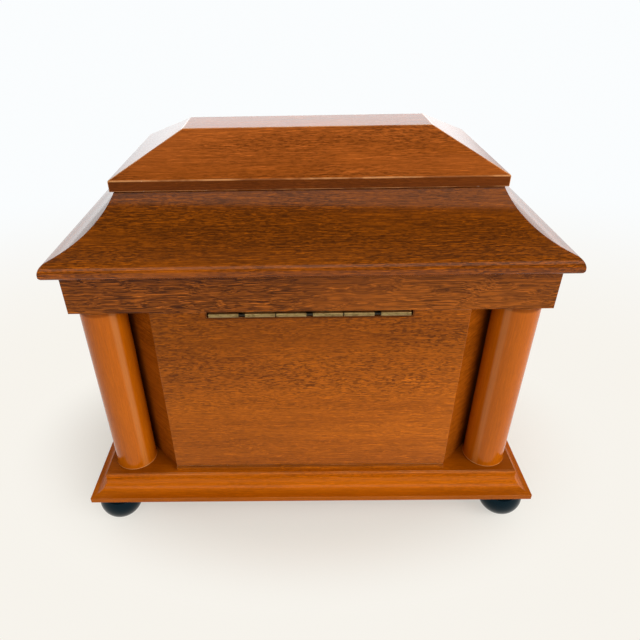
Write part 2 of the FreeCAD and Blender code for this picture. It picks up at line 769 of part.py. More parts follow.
# Lid block: a plain band with a hipped top
block_x = half_width(size("block_set_in"))
block_y = half_depth(size("block_set_in"))
band = size("band_height")
hip_run = size("hip_run")
lid_band = doc.addObject("Part::Box", "lid_band")
bind(lid_band, "Length", block_x * 2)
bind(lid_band, "Width", block_y * 2)
bind(lid_band, "Height", band)
move(lid_band, -block_x, -block_y, block_level)
hip = doc.addObject("Part::Wedge", "hip")
wedge = {
    "Xmin": -block_x,
    "Xmax": block_x,
    "Zmin": -block_y,
    "Zmax": block_y,
    "Ymin": 0,
    "Ymax": size("hip_height"),
    "X2min": hip_run - block_x,
    "X2max": block_x - hip_run,
    "Z2min": hip_run - block_y,
    "Z2max": block_y - hip_run,
}
for name, value in wedge.items():
    setattr(hip, name, as_size(value).number)
for name, value in wedge.items():
    bind(hip, name, value)
move(hip, 0, 0, block_level + band, 90, (1, 0, 0))
lid_block = doc.addObject("Part::Fuse", "lid_block")
lid_block.Base = lid_band
lid_block.Tool = hip
lid_block.Refine = True
nodes.append(lid_block)

# Lining panel that closes the lid inside the rim
lining_x = half_width(size("rim_set_in")) - rim_thickness - clearance
lining_y = half_depth(size("rim_set_in")) - rim_thickness - clearance
lining_level = rim_level + size("lining_recess")
lining = doc.addObject("Part::Box", "lid_lining_panel")
bind(lining, "Length", lining_x * 2)
bind(lining, "Width", lining_y * 2)
bind(lining, "Height", size("lining_thickness"))
place(lining, -lining_x, -lining_y, lining_level)

# Bedplate on four bosses, screwed from below
bed_thickness = size("bedplate_thickness")
clip = size("bedplate_corner")
bed_plan = [(bed_left, bed_front + clip), (bed_left + clip, bed_front), (bed_right - clip, bed_front),
            (bed_right, bed_front + clip), (bed_right, bed_back - clip), (bed_right - clip, bed_back),
            (bed_left + clip, bed_back), (bed_left, bed_back - clip)]
winding_radius = size("winding_arbor_diameter") / 2
bedplate = new_body("bedplate")
pad(bedplate, draw(bedplate, "XY_Plane", [bed_plan]), bed_thickness, backwards=True)
bosses = draw(bedplate, "XY_Plane", circles=[(x, y, size("boss_diameter") / 2) for x, y in boss_spots],
              lift=-bed_thickness)
pad(bedplate, bosses, size("boss_height"), backwards=True)
drilled = [(x, y, bed_screw + running) for x, y in boss_spots]
drilled.append((size("motor_offset"), 0, winding_radius + running))
drilled_depth = (bed_thickness + size("boss_height")) * 3
pocket(bedplate, draw(bedplate, "XY_Plane", circles=drilled), drilled_depth, both_ways=True)
place(bedplate, movement_x, 0, bed_level)
bed_screw_length = size("base_thickness") + size("boss_height") + size("bed_screw_bite")
screw_group("bedplate_screws", [(movement_x + x, y, base_level) for x, y in boss_spots],
            bed_screw * SCREW_HEAD_RATIO, bed_screw, bed_screw, bed_screw_length, 1)

# Spring housing: a drawn cup with the mainspring coiled inside it
housing = size("housing_diameter") / 2
housing_height = size("housing_height")
wall = size("housing_wall")
spring_housing = new_body("spring_housing")
eye = winding_radius + running
cup_floor = housing_height - wall
turn(spring_housing, [(housing - wall, 0), (housing, 0), (housing, housing_height), (eye, housing_height),
                      (eye, cup_floor), (housing - wall, cup_floor)])
place(spring_housing, motor_x, 0, bed_level)

# Mainspring: one strip in half circles whose radius grows by half a pitch at each half turn
strip = size("spring_strip").number
half_pitch = size("spring_pitch").number / 2


def spiral_side(radius):
    """The arcs of one side of the strip, and its two ends."""
    arcs = []
    ends = []
    for step in range(SPRING_HALF_TURNS):
        way = 1 if step % 2 else -1
        centre = half_pitch / 2 * way
        reach = radius + half_pitch * step
        start = FreeCAD.Vector(centre - reach * way, 0, 0)
        middle = FreeCAD.Vector(centre, reach * way, 0)
        end = FreeCAD.Vector(centre + reach * way, 0, 0)
        arcs.append(Part.Arc(start, middle, end).toShape())
        ends = [ends[0] if ends else start, end]
    return arcs, ends


inner_side, inner_ends = spiral_side(size("spring_inner_radius").number)
outer_side, outer_ends = spiral_side(size("spring_inner_radius").number + strip)
strip_ends = [Part.makeLine(near, far) for near, far in zip(inner_ends, outer_ends)]
outline = Part.Wire(Part.__sortEdges__(inner_side + outer_side + strip_ends))
mainspring = doc.addObject("Part::Feature", "mainspring")
mainspring.Shape = Part.Face(outline).extrude(FreeCAD.Vector(0, 0, size("spring_height").number))
print("mainspring gap between turns", round(half_pitch * 2 - strip, 2))
place(mainspring, motor_x, 0, bed_level + end_shake)

# Winding arbor with the crown wheel on top and the key below the base board
crown_foot = housing_height + size("crown_gap")
crown_top = crown_foot + size("crown_thickness")
key_top = base_level - bed_level
arbor_foot = key_top - size("key_shank_length")
winding_arbor = doc.addObject("Part::Cylinder", "winding_arbor")
bind(winding_arbor, "Radius", winding_radius)
bind(winding_arbor, "Height", crown_top + clearance - arbor_foot)
place(winding_arbor, motor_x, 0, bed_level + arbor_foot)

crown_wheel = new_body("crown_wheel")
crown_bore = [(0, 0, winding_radius + running / 2)]
crown_disc = draw(crown_wheel, "XY_Plane", circles=[(0, 0, size("crown_outer_radius"))] + crown_bore)
pad(crown_wheel, crown_disc, size("crown_thickness"))
tooth_half = size("crown_tooth_width") / 2
crown_edge = size("crown_outer_radius") - clearance
crown_tooth = rectangle(-crown_edge, -tooth_half, -size("crown_inner_radius"), tooth_half)
crown_sketch = draw(crown_wheel, "XY_Plane", [crown_tooth])
first_tooth = pad(crown_wheel, crown_sketch, size("crown_thickness") + size("crown_tooth_height"))
ring_of(crown_wheel, first_tooth, "Z_Axis", CROWN_TEETH)
place(crown_wheel, motor_x, 0, bed_level + crown_foot, 180 / CROWN_TEETH)

winding_key = new_body("winding_key")
shank = size("key_shank_diameter") / 2
bow_half = size("key_bow_width") / 2
bow_height = size("key_bow_height")
key_bore = [(0, 0, winding_radius + running / 2)]
pad(winding_key, draw(winding_key, "XY_Plane", circles=[(0, 0, shank)] + key_bore), size("key_shank_length"),
    backwards=True)
pad(winding_key, draw(winding_key, "XY_Plane", circles=[(0, 0, shank)], lift=-size("key_shank_length")),
    winding_radius, backwards=True)
bow_top = -size("key_shank_length") - winding_radius / 2
bow_round = bow_height / 2
bow_straight = bow_half - bow_round
bow = [(-bow_straight, bow_top - bow_height), (bow_straight, bow_top - bow_height, bow_round, 1),
       (bow_half, bow_top - bow_round, bow_round, 1), (bow_straight, bow_top),
       (-bow_straight, bow_top, bow_round, 1), (-bow_half, bow_top - bow_round, bow_round, 1)]
pad(winding_key, draw(winding_key, "XZ_Plane", [bow]), size("key_bow_thickness"), both_ways=True)
place(winding_key, motor_x, 0, base_level - body_gap)

# Cylinder: a brass tube with end caps on its arbor, pins set in tracks under the comb's teeth
tube = size("cylinder_radius")
tube_left, tube_right = -size("cylinder_left"), size("cylinder_right")
arbor = size("arbor_diameter") / 2
hub = arbor + running / 2
cap = size("cylinder_wall")
cylinder = new_body("cylinder")
turn(cylinder, [(tube_left, hub), (tube_right, hub), (tube_right, tube), (tube_left, tube)], axis="H_Axis")
hollow = [(tube_left + cap, hub + cap), (tube_right - cap, hub + cap), (tube_right - cap, tube - cap),
          (tube_left + cap, tube - cap)]
hollow_sketch = draw(cylinder, "XZ_Plane", [hollow])
groove = cylinder.newObject("PartDesign::Groove", "cylinder_hollow")
groove.Profile = hollow_sketch
groove.ReferenceAxis = (hollow_sketch, ["H_Axis"])
groove.Angle = 360
place(cylinder, movement_x, 0, axis_level)

comb_left = -size("cylinder_left") + size("bearing_thickness") / 2
comb_right = size("cylinder_right") - size("bearing_thickness") / 2
comb_pitch = (comb_right - comb_left) / COMB_TEETH
pins = []
for track in range(COMB_TEETH):
    for number in range(PINS_PER_TRACK):
        pin = doc.addObject("Part::Prism", "pin")
        pin.Polygon = PIN_SIDES
        bind(pin, "Circumradius", size("pin_radius"))
        bind(pin, "Height", size("pin_height"))
        angle = (track * PIN_TRACK_STEP + number * number * PIN_SPREAD + number * PIN_SPACING) % 360
        lean = math.radians(angle)
        stand = tube - running / 10
        move(pin, movement_x + comb_left + comb_pitch * (track + 0.5), stand * -math.sin(lean),
             axis_level + stand * math.cos(lean), angle, (1, 0, 0))
        pins.append(pin)
group("cylinder_pins", pins)

# Cylinder arbor with its own pinion, which the crown wheel drives
left_plate = tube_left - size("wheel_width") * 2 - size("bearing_thickness")
arbor_left = left_plate - end_shake
pinion_middle = size("motor_offset") - (size("crown_outer_radius") + size("crown_inner_radius")) / 2
arbor_right = pinion_middle + size("pinion_width") / 2
cylinder_arbor = new_body("cylinder_arbor")
arbor_half_section = rectangle(arbor_left, 0, arbor_right, arbor)
turn(cylinder_arbor, arbor_half_section, axis="H_Axis")
add_teeth(cylinder_arbor, size("pinion_root_radius"), size("pinion_tip_radius"), size("pinion_root_width"),
          size("pinion_tip_width"), size("pinion_width"), PINION_TEETH, pinion_middle)
place(cylinder_arbor, movement_x, 0, axis_level)

cylinder_wheel = new_body("cylinder_wheel")
wheel_middle = tube_left - size("wheel_width")
add_teeth(cylinder_wheel, size("wheel_root_radius"), size("wheel_tip_radius"), size("wheel_root_width"),
          size("wheel_tip_width"), size("wheel_width"), WHEEL_TEETH, wheel_middle)
wheel_bore = draw(cylinder_wheel, "YZ_Plane", circles=[(0, 0, hub)])
pocket(cylinder_wheel, wheel_bore, size("bedplate_left") * 2, both_ways=True)
place(cylinder_wheel, movement_x, 0, axis_level, 180 / WHEEL_TEETH, (1, 0, 0))

# Bearings: the governor frame holds the cylinder's left end and both ends of the governor arbor
bearing = size("bearing_thickness")
axis_height = size("axis_height")
governor_y = size("governor_offset")
governor_arbor_radius = size("governor_arbor_diameter") / 2
cock = size("bearing_radius")
post = size("governor_post_width") / 2
post_left = tube_left + size("wheel_width") / 2
governor_frame = new_body("governor_frame")
plate = rectangle(-cock, 0, governor_y + cock, axis_height + cock)
pad(governor_frame, draw(governor_frame, "YZ_Plane", [plate], lift=left_plate), bearing)
foot_strip = rectangle(governor_y - post, 0, governor_y + cock, bearing)
foot_sketch = draw(governor_frame, "YZ_Plane", [foot_strip], lift=left_plate)
pad(governor_frame, foot_sketch, post_left + bearing - left_plate)
upright = rectangle(governor_y - post, 0, governor_y + post, axis_height + post)
pad(governor_frame, draw(governor_frame, "YZ_Plane", [upright], lift=post_left), bearing)
pivots = [(0, axis_height, arbor + running), (governor_y, axis_height, governor_arbor_radius + running)]
pivot_sketch = draw(governor_frame, "YZ_Plane", circles=pivots)
pocket(governor_frame, pivot_sketch, size("bedplate_left") * 2, both_ways=True)
place(governor_frame, movement_x, 0, bed_level)

cylinder_bearing = new_body("cylinder_bearing")
right_plate = tube_right + end_shake
cheek_foot = size("bearing_foot_width") / 2
cheek = [(-cheek_foot, 0), (cheek_foot, 0), (cock, axis_height, cock, 1), (0, axis_height + cock, cock, 1),
         (-cock, axis_height)]
cheek_bore = (0, axis_height, arbor + running)
pad(cylinder_bearing, draw(cylinder_bearing, "YZ_Plane", [cheek], [cheek_bore], lift=right_plate), bearing)
place(cylinder_bearing, movement_x, 0, bed_level)

# Comb: steel teeth cut between slots, screwed to a cast bridge, its tips just clear of the pins
tip_y = -(tube + size("pin_height") + size("comb_tip_gap"))
comb_back = tip_y - size("comb_depth")
comb_thickness = size("comb_thickness")
comb = new_body("comb")
comb_outline = [(comb_left, tip_y), (comb_left, comb_back), (comb_right, comb_back + size("comb_skew")),
                (comb_right, tip_y)]
pad(comb, draw(comb, "XY_Plane", [comb_outline]), comb_thickness)
slot_half = size("comb_slot_width") / 2
slot_middle = comb_left + comb_pitch
slot_end = tip_y - size("comb_slot_length")
slot = rectangle(slot_middle - slot_half, slot_end, slot_middle + slot_half, tip_y + SAW_OVERRUN)
slot_cut = pocket(comb, draw(comb, "XY_Plane", [slot]), comb_thickness * 3, both_ways=True)
slots = comb.newObject("PartDesign::LinearPattern", "comb_slots")
slots.Originals = [slot_cut]
slots.Direction = (next(item for item in comb.Origin.OriginFeatures if item.Role == "X_Axis"), [""])
bind(slots, "Length", comb_pitch * (COMB_TEETH - 2))
slots.Occurrences = COMB_TEETH - 1
comb.Tip = slots
comb_screw = size("comb_screw_diameter") / 2
screw_y = slot_end - size("comb_screw_set_back")
comb_middle = (comb_left + comb_right) / 2
comb_screw_spots = [(comb_middle + size("comb_screw_spread") / 2 * way, screw_y) for way in (-1, 1)]
holes = [(x, y, comb_screw + running) for x, y in comb_screw_spots]
pocket(comb, draw(comb, "XY_Plane", circles=holes), comb_thickness * 3, both_ways=True)
comb_level = axis_height - comb_thickness / 2
place(comb, movement_x, 0, bed_level + comb_level)

comb_bridge = new_body("comb_bridge")
bridge_front = slot_end - comb_screw / 2
bridge_back = bed_front + clearance
bridge = [(bridge_back, 0), (bridge_front + comb_screw * 2, 0), (bridge_front, comb_level / 3),
          (bridge_front, comb_level), (comb_back + size("comb_skew"), comb_level),
          (bridge_back, comb_level / 3)]
bridge_length = comb_right - comb_left
pad(comb_bridge, draw(comb_bridge, "YZ_Plane", [bridge], lift=comb_left), bridge_length)
sketch = draw(comb_bridge, "XY_Plane", circles=holes, lift=comb_level)
pocket(comb_bridge, sketch, size("comb_screw_length") + clearance - comb_thickness)
place(comb_bridge, movement_x, 0, bed_level)
comb_top = bed_level + comb_level + comb_thickness
screw_group("comb_screws", [(movement_x + x, y, comb_top) for x, y in comb_screw_spots],
            comb_screw * SCREW_HEAD_RATIO, comb_screw, comb_screw, size("comb_screw_length"), -1)

# Governor arbor: a leaf pinion between the bearings and the worm wheel outside them
governor_arbor = new_body("governor_arbor")
wheel_half = size("worm_wheel_width") / 2
governor_left = -size("worm_reach") - wheel_half - clearance
governor_right = post_left + bearing + clearance
governor_half_section = rectangle(governor_left, 0, governor_right, governor_arbor_radius)
turn(governor_arbor, governor_half_section, axis="H_Axis")
add_teeth(governor_arbor, size("leaf_pinion_root_radius"), size("leaf_pinion_tip_radius"),
          size("leaf_pinion_root_width"), size("leaf_pinion_tip_width"), size("pinion_width"),
          LEAF_PINION_TEETH, wheel_middle)
add_teeth(governor_arbor, size("worm_wheel_root_radius"), size("worm_wheel_tip_radius"),
          size("worm_wheel_root_width"), size("worm_wheel_tip_width"), size("worm_wheel_width"),
          WORM_WHEEL_TEETH, -size("worm_reach"))
place(governor_arbor, movement_x, governor_y, axis_level)

# Endless screw and fly: a worm on a slim arbor with a two-bladed air brake under it
endless_screw = new_body("endless_screw")
fly_arbor = size("fly_arbor_diameter") / 2
bracket = size("bracket_thickness")
worm_length = size("worm_pitch") * (size("worm_turns") + 1)
worm_start = axis_height - size("worm_pitch") * WORM_LEAD_IN
worm_foot = worm_start - size("worm_pitch") / 2
fly_top = size("fly_level") + size("fly_height")
worm_core = size("worm_root_radius")
worm_end = worm_foot + worm_length
fly_arbor_top = size("bracket_top") + bracket + clearance
turn(endless_screw, [(0, body_gap), (fly_arbor, body_gap), (fly_arbor, worm_foot), (worm_core, worm_foot),
                     (worm_core, worm_end), (fly_arbor, worm_end), (fly_arbor, fly_arbor_top),
                     (0, fly_arbor_top)])
thread_foot = worm_core - clearance
thread = [(thread_foot, worm_start - size("worm_root_width") / 2),
          (size("worm_tip_radius"), worm_start - size("worm_tip_width") / 2),
          (size("worm_tip_radius"), worm_start + size("worm_tip_width") / 2),
          (thread_foot, worm_start + size("worm_root_width") / 2)]
thread_sketch = draw(endless_screw, "XZ_Plane", [thread])
helix = endless_screw.newObject("PartDesign::AdditiveHelix", "worm_thread")
helix.Profile = thread_sketch
helix.ReferenceAxis = (thread_sketch, ["V_Axis"])
helix.Mode = "pitch-turns-angle"
bind(helix, "Pitch", size("worm_pitch"))
bind(helix, "Turns", size("worm_turns"))
blade = rectangle(-size("fly_span") / 2, size("fly_level"), size("fly_span") / 2, fly_top)
pad(endless_screw, draw(endless_screw, "XZ_Plane", [blade]), size("fly_thickness"), both_ways=True)
place(endless_screw, worm_x, worm_y, bed_level)

governor_bracket = new_body("governor_bracket")
reach = size("bracket_reach")
arm = size("bracket_width") / 2
top = size("bracket_top")
frame = [(-arm, 0), (reach + bracket, 0), (reach + bracket, top + bracket), (-arm, top + bracket), (-arm, top),
         (reach, top), (reach, bracket), (-arm, bracket)]
pad(governor_bracket, draw(governor_bracket, "YZ_Plane", [frame]), size("bracket_width"), both_ways=True)
pivot = draw(governor_bracket, "XY_Plane", circles=[(0, 0, fly_arbor + running)])
pocket(governor_bracket, pivot, (top + bracket) * 3, both_ways=True)
place(governor_bracket, worm_x, worm_y, bed_level)

# Stop plunger: the closed lid holds it down beside the fly
stop_plunger = new_body("stop_plunger")
stop_foot = bed_level + size("stop_rod_level")
stop_top = lining_level - size("stop_gap") - stop_foot
button = size("stop_button_diameter") / 2
button_foot = stop_top - size("stop_button_height")
turn(stop_plunger, [(0, 0), (stop_rod, 0), (stop_rod, button_foot), (button, button_foot), (button, stop_top),
                    (0, stop_top)])
place(stop_plunger, stop_x, worm_y, stop_foot)

doc.recompute()
for thing in doc.Objects:
    if "Invalid" in thing.State or "Error" in thing.State:
        raise RuntimeError(f"{thing.Label} did not build")
for node in nodes:
    if node.Shape.isNull() or not node.Shape.isValid():
        raise RuntimeError(f"{node.Label} has no valid shape")
for node in nodes:
    node.Shape.exportStep(f"parts/{node.Label}.step")
print(len(nodes), "pieces written")
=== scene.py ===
import json
import math
import random

import bmesh
import bpy
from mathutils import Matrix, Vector

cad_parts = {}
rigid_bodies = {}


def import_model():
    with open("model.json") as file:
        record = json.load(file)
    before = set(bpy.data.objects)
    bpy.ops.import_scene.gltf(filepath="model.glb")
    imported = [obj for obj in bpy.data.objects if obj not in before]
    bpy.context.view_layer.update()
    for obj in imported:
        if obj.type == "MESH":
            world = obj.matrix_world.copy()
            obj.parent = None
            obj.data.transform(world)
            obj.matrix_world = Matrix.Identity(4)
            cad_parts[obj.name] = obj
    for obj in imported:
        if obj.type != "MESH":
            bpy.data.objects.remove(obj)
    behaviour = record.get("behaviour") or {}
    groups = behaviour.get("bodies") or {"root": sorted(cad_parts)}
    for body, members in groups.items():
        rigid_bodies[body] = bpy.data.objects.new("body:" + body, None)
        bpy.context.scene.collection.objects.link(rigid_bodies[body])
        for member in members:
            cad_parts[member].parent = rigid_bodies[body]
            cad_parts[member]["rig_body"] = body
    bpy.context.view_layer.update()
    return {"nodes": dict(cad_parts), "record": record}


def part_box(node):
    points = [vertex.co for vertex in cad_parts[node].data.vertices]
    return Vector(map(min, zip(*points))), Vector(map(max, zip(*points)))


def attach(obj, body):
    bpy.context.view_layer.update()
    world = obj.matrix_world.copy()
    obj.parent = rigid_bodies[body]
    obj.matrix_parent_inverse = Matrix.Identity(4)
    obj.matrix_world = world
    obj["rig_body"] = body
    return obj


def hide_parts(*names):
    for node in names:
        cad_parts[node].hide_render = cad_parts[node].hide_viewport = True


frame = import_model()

MM = 0.001


# Plinth: four mitred lengths of moulding, a fillet under a hollow, glued round the base board.
# Cherry, stained orange and lacquered, its arrises sanded round, rubbed pale by handling and painted paler
# still as edge highlight.
class Shade:
    """A shader socket that can be written in an expression; each operator adds its Math node."""

    def __init__(self, tree, socket):
        self.tree = tree
        self.socket = socket

    def node(self, kind, settings, sockets, output=0):
        """Adds a node: its settings are set first, then each socket gets a value or a link."""
        made = self.tree.nodes.new("ShaderNode" + kind)
        for name, value in settings.items():
            setattr(made, name, value)
        for key, value in sockets.items():
            if isinstance(value, Shade):
                self.tree.links.new(value.socket, made.inputs[key])
            else:
                made.inputs[key].default_value = value
        return Shade(self.tree, made.outputs[output] if made.outputs else None)

    def maths(self, operation, first, second=0.0):
        return self.node("Math", {"operation": operation}, {0: first, 1: second})

    def __add__(self, other):
        return self.maths("ADD", self, other)

    def __sub__(self, other):
        return self.maths("SUBTRACT", self, other)

    def __mul__(self, other):
        return self.maths("MULTIPLY", self, other)

    def __radd__(self, other):
        return self.maths("ADD", other, self)

    def __rsub__(self, other):
        return self.maths("SUBTRACT", other, self)

    def __rmul__(self, other):
        return self.maths("MULTIPLY", other, self)

    def __abs__(self):
        return self.maths("ABSOLUTE", self)

    def step(self, low, high):
        """0 below low and 1 above high, smooth between."""
        return self.node("MapRange", {"interpolation_type": "SMOOTHSTEP"},
                         {"Value": self, "From Min": low, "From Max": high})

    def mix(self, first, second):
        """The first colour where this is 0, the second where it is 1."""
        return self.node("Mix", {"data_type": "RGBA"}, {0: self, 6: first, 7: second}, 2)

    def part(self, axis):
        """One coordinate of these points."""
        return self.node("SeparateXYZ", {}, {"Vector": self}, axis)

    def stretched(self, x, y, z):
        """Points scaled along each axis, so that noise at them has about so many blotches to the mm."""
        return self.node("VectorMath", {"operation": "MULTIPLY"}, {0: self, 1: (x, y, z)})

    def noise(self, detail, roughness):
        """Noise at these points, from 0 to 1."""
        return self.node("TexNoise", {}, {"Vector": self, "Scale": 1.0, "Detail": detail,
                                          "Roughness": roughness})


def start_finish(name):
    """A new material, and its points in millimetres of the object."""
    material = bpy.data.materials.new(name)
    material.use_nodes = True
    material.node_tree.nodes.clear()
    place = Shade(material.node_tree, None).node("TexCoord", {}, {}, "Object")
    return material, place.stretched(1 / MM, 1 / MM, 1 / MM)


def end_finish(points, sockets, relief=None, relief_depth=0.0):
    """Joins the sockets to a Principled shader; relief is a height that its bump takes, in mm at 1."""
    if relief is not None:
        sockets["Normal"] = points.node("Bump", {}, {"Height": relief, "Strength": 1.0,
                                                     "Distance": relief_depth * MM})
    shader = points.node("BsdfPrincipled", {}, sockets)
    points.node("OutputMaterial", {}, {"Surface": shader})


def paint(tone, strength=1.0):
    """A socket's colour from red, green and blue, made darker or lighter by strength."""
    return (*(strength * part for part in tone), 1)


ALONG_X = (0.0, 0.0, 0.0)
ALONG_Y = (0.0, 0.0, -90.0)
ALONG_Z = (0.0, 90.0, 0.0)
SIDES = {"front": ALONG_X, "back": ALONG_X, "left": ALONG_Y, "right": ALONG_Y}
PAINTED_HIGHLIGHT_TONE = (0.72, 0.36, 0.13)
RUBBED_AND_HIGHLIT_WOOD = (0.70, 0.32, 0.12)
CHIPPED_WOOD = (0.80, 0.56, 0.40)
GLEAM_LIGHTENS = 1.45
PORE_DARKENS = 0.35
STAIN_AND_SHADE_DARKENS = 0.6
STAIN_AND_SHADE_DULLS = 0.7
CHIP_SHOWS = 0.6
PORE_DEPTH = 0.025


def lacquered_cherry(name, turned, tones, streak, pore, shift, wave=3.0, coat=1.0, shaded=None, pored=None,
                     painted_highlight=None, gloss=1.22, haze=0.15, reach=1.0):
    """Stained cherry under lacquer; turned lays the grain along X, tones run from dark to light.

    streak and pore are how strongly fibres and pores show, shift picks the part of the figure that shows,
    wave is how far the grain wanders and reach how far its fibres run. shaded and pored take the points and
    give masks of where real stain or painted shade darkens the wood and where the pores lie closer; the third
    mask gives painted highlights and reflections in a pale tone. coat is how much lacquer there is, gloss its
    index of refraction and haze its roughness.
    """
    material, points = start_finish(name)
    laid = points.node("VectorRotate", {"rotation_type": "EULER_XYZ"},
                       {"Vector": points, "Rotation": [math.radians(angle) for angle in turned]})
    laid = laid.node("VectorMath", {"operation": "ADD"}, {0: laid, 1: shift})
    drift = (laid.stretched(0.012, 0.05, 0.05).noise(2.0, 0.5) - 0.5) * wave
    drift = drift + (laid.stretched(0.06, 0.16, 0.16).noise(1.0, 0.5) - 0.5) * (wave * 0.35)
    across = laid.node("CombineXYZ", {}, {"Y": drift, "Z": drift})
    grain = laid.node("VectorMath", {"operation": "ADD"}, {0: laid, 1: across})
    figure = grain.stretched(0.007, 0.05, 0.05).noise(3.0, 0.55).step(0.35, 0.65)
    patch = laid.stretched(0.013, 0.035, 0.035).noise(2.0, 0.5).step(0.36, 0.6)
    if pored:
        patch = pored(points) * (0.4 + patch * 0.6)
    bands = grain.stretched(0.02, 0.6, 0.6).noise(3.0, 0.6).step(0.48, 0.62)
    fibres = grain.stretched(0.11 / reach, 3.0, 3.0).noise(2.0, 0.6).step(0.45, 0.57)
    gleam = grain.stretched(0.05 / reach, 1.9, 2.4).noise(3.0, 0.65).step(0.52, 0.62)
    pores = grain.stretched(0.4 / reach, 2.0, 2.0).noise(1.0, 0.5).step(0.5, 0.57) * (0.25 + patch * 0.75)
    dark, middle, light = tones
    colour = figure.mix(paint(middle), paint(light))
    colour = (gleam * (streak * 1.3)).mix(colour, paint(light, GLEAM_LIGHTENS))
    colour = (bands * (streak * 0.45)).mix(colour, paint(dark))
    colour = (fibres * (streak * (0.6 + patch * 0.6))).mix(colour, paint(dark))
    colour = (pores * pore).mix(colour, paint(dark, PORE_DARKENS))
    lacquer = coat
    # The shaded mask darkens the colour and thins the lacquer for real stain and for painted shade alike.
    if shaded:
        stain_and_shade = shaded(points)
        colour = stain_and_shade.mix(colour, paint(dark, STAIN_AND_SHADE_DARKENS))
        lacquer = (1.0 - stain_and_shade * STAIN_AND_SHADE_DULLS) * coat
    # Painted highlights and reflections: a pale tone mixed in where the third mask says.
    if painted_highlight:
        colour = painted_highlight(points).mix(colour, paint(PAINTED_HIGHLIGHT_TONE))
    # Arrises are lightened both as wear from handling and as painted edge highlight.
    rubbed_and_highlit = points.node("Attribute", {"attribute_name": "arris"}, {}, "Fac")
    handled = points.stretched(0.06, 0.06, 0.06).noise(3.0, 0.6).step(0.42, 0.62)
    chips = points.stretched(0.5, 0.5, 0.5).noise(3.0, 0.6).step(0.69, 0.73) * rubbed_and_highlit
    colour = (rubbed_and_highlit * (0.15 + handled * 0.55)).mix(colour, paint(RUBBED_AND_HIGHLIT_WOOD))
    colour = (chips * CHIP_SHOWS).mix(colour, paint(CHIPPED_WOOD))
    end_finish(points, {
        "Base Color": colour,
        "Roughness": 0.5 + fibres * 0.12,
        "Specular IOR Level": 0.0,
        "Coat Weight": lacquer * (1.0 - chips * CHIP_SHOWS),
        "Coat Roughness": haze,
        "Coat IOR": gloss,
    }, relief=1.0 - pores * 0.6 - fibres * 0.15, relief_depth=PORE_DEPTH)
    return material


WELD = 0.002 * MM
FLAT_ANGLE = math.radians(0.5)
SHARP_EDGE = math.radians(28)
SHADED_EDGE = SHARP_EDGE * 1.4
SQUARE_ENOUGH = 0.01


def on_mitre(edge):
    """True at a saw cut through a corner, whose face stands at 45 degrees in plan."""
    return any(abs(face.normal.z) < SQUARE_ENOUGH
               and abs(abs(face.normal.x) - abs(face.normal.y)) < SQUARE_ENOUGH for face in edge.link_faces)


def cad_mesh(node):
    """A copy of a CAD piece's mesh with its points welded."""
    work = bmesh.new()
    work.from_mesh(frame["nodes"][node].data)
    bmesh.ops.remove_doubles(work, verts=work.verts, dist=WELD)
    return work


def merge_flats(work):
    """Joins the triangles that lie in one plane."""
    bmesh.ops.dissolve_limit(work, angle_limit=FLAT_ANGLE, verts=work.verts, edges=work.edges)


def slot_of(node):
    """The material slot that the record gives a CAD piece."""
    return next(part["material_slot"] for part in frame["record"]["subparts"] if part["node"] == node)


def add_piece(name, work, finish, body, node, slot):
    """Turns a worked mesh into a piece that rides on a body in place of a CAD node."""
    mesh = bpy.data.meshes.new(name)
    work.to_mesh(mesh)
    work.free()
    if "custom_normal" in mesh.attributes:
        mesh.attributes.remove(mesh.attributes["custom_normal"])
    mesh.materials.clear()
    mesh.materials.append(finish)
    mesh.polygons.foreach_set("use_smooth", [True] * len(mesh.polygons))
    mesh.set_sharp_from_angle(angle=SHADED_EDGE)
    piece = bpy.data.objects.new(name, mesh)
    bpy.context.scene.collection.objects.link(piece)
    even = piece.modifiers.new("even_shading", "WEIGHTED_NORMAL")
    even.keep_sharp = True
    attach(piece, body)
    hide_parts(node)
    return piece


def sanded(node, finish, ease, mitred=False, sharpness=SHARP_EDGE):
    """A CAD piece with its sharp arrises eased round by so many millimetres and marked for wear and painted
    edge highlight.
    """
    work = cad_mesh(node)
    merge_flats(work)
    arris = work.loops.layers.float.new("arris")
    sharp = [edge for edge in work.edges if edge.is_manifold and edge.calc_face_angle() > sharpness]
    if mitred:
        sharp = [edge for edge in sharp if not on_mitre(edge)]
    made = bmesh.ops.bevel(work, geom=sharp, offset=ease * MM, offset_type="OFFSET", segments=3, profile=0.5,
                           affect="EDGES", clamp_overlap=True)
    for face in made["faces"]:
        for loop in face.loops:
            loop[arris] = 1.0
    add_piece("worked_" + node, work, finish, frame["nodes"][node]["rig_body"], node, slot_of(node))


FILLET_HEIGHT = 3.4
FILLET_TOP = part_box("plinth_back")[0][2] / MM + FILLET_HEIGHT


def fillet_darkening_and_hollow_shade(points):
    """The flat fillet at the foot of the moulding, darker, and a line of painted shade at the foot of the
    hollow, where it meets the fillet.
    """
    over_fillet = points.part("Z") - FILLET_TOP
    fillet = 1.0 - over_fillet.step(-0.7, 0.3)
    line = over_fillet.step(-0.4, 0.0) * (1.0 - over_fillet.step(0.3, 1.3))
    return fillet * 0.35 + line * 0.3


PLINTH_TONES = ((0.27, 0.058, 0.001), (0.54, 0.125, 0.001), (0.58, 0.14, 0.002))
for number, (side, turned) in enumerate(SIDES.items()):
    finish = lacquered_cherry("plinth_" + side, turned, PLINTH_TONES, streak=0.3, pore=0.15,
                              shift=(31.0 * number, 7.0, 3.0), shaded=fillet_darkening_and_hollow_shade)
    sanded("plinth_" + side, finish, ease=0.3, mitred=True)

# Base board: one board with its top edge eased, the ledge that the walls and columns stand on.
# Its edge runs flush into the plinth's hollow; its top face is painted darker as shade, most of all round the
# columns, where their shadow falls.
BOARD_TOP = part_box("base_board")[1][2] / MM


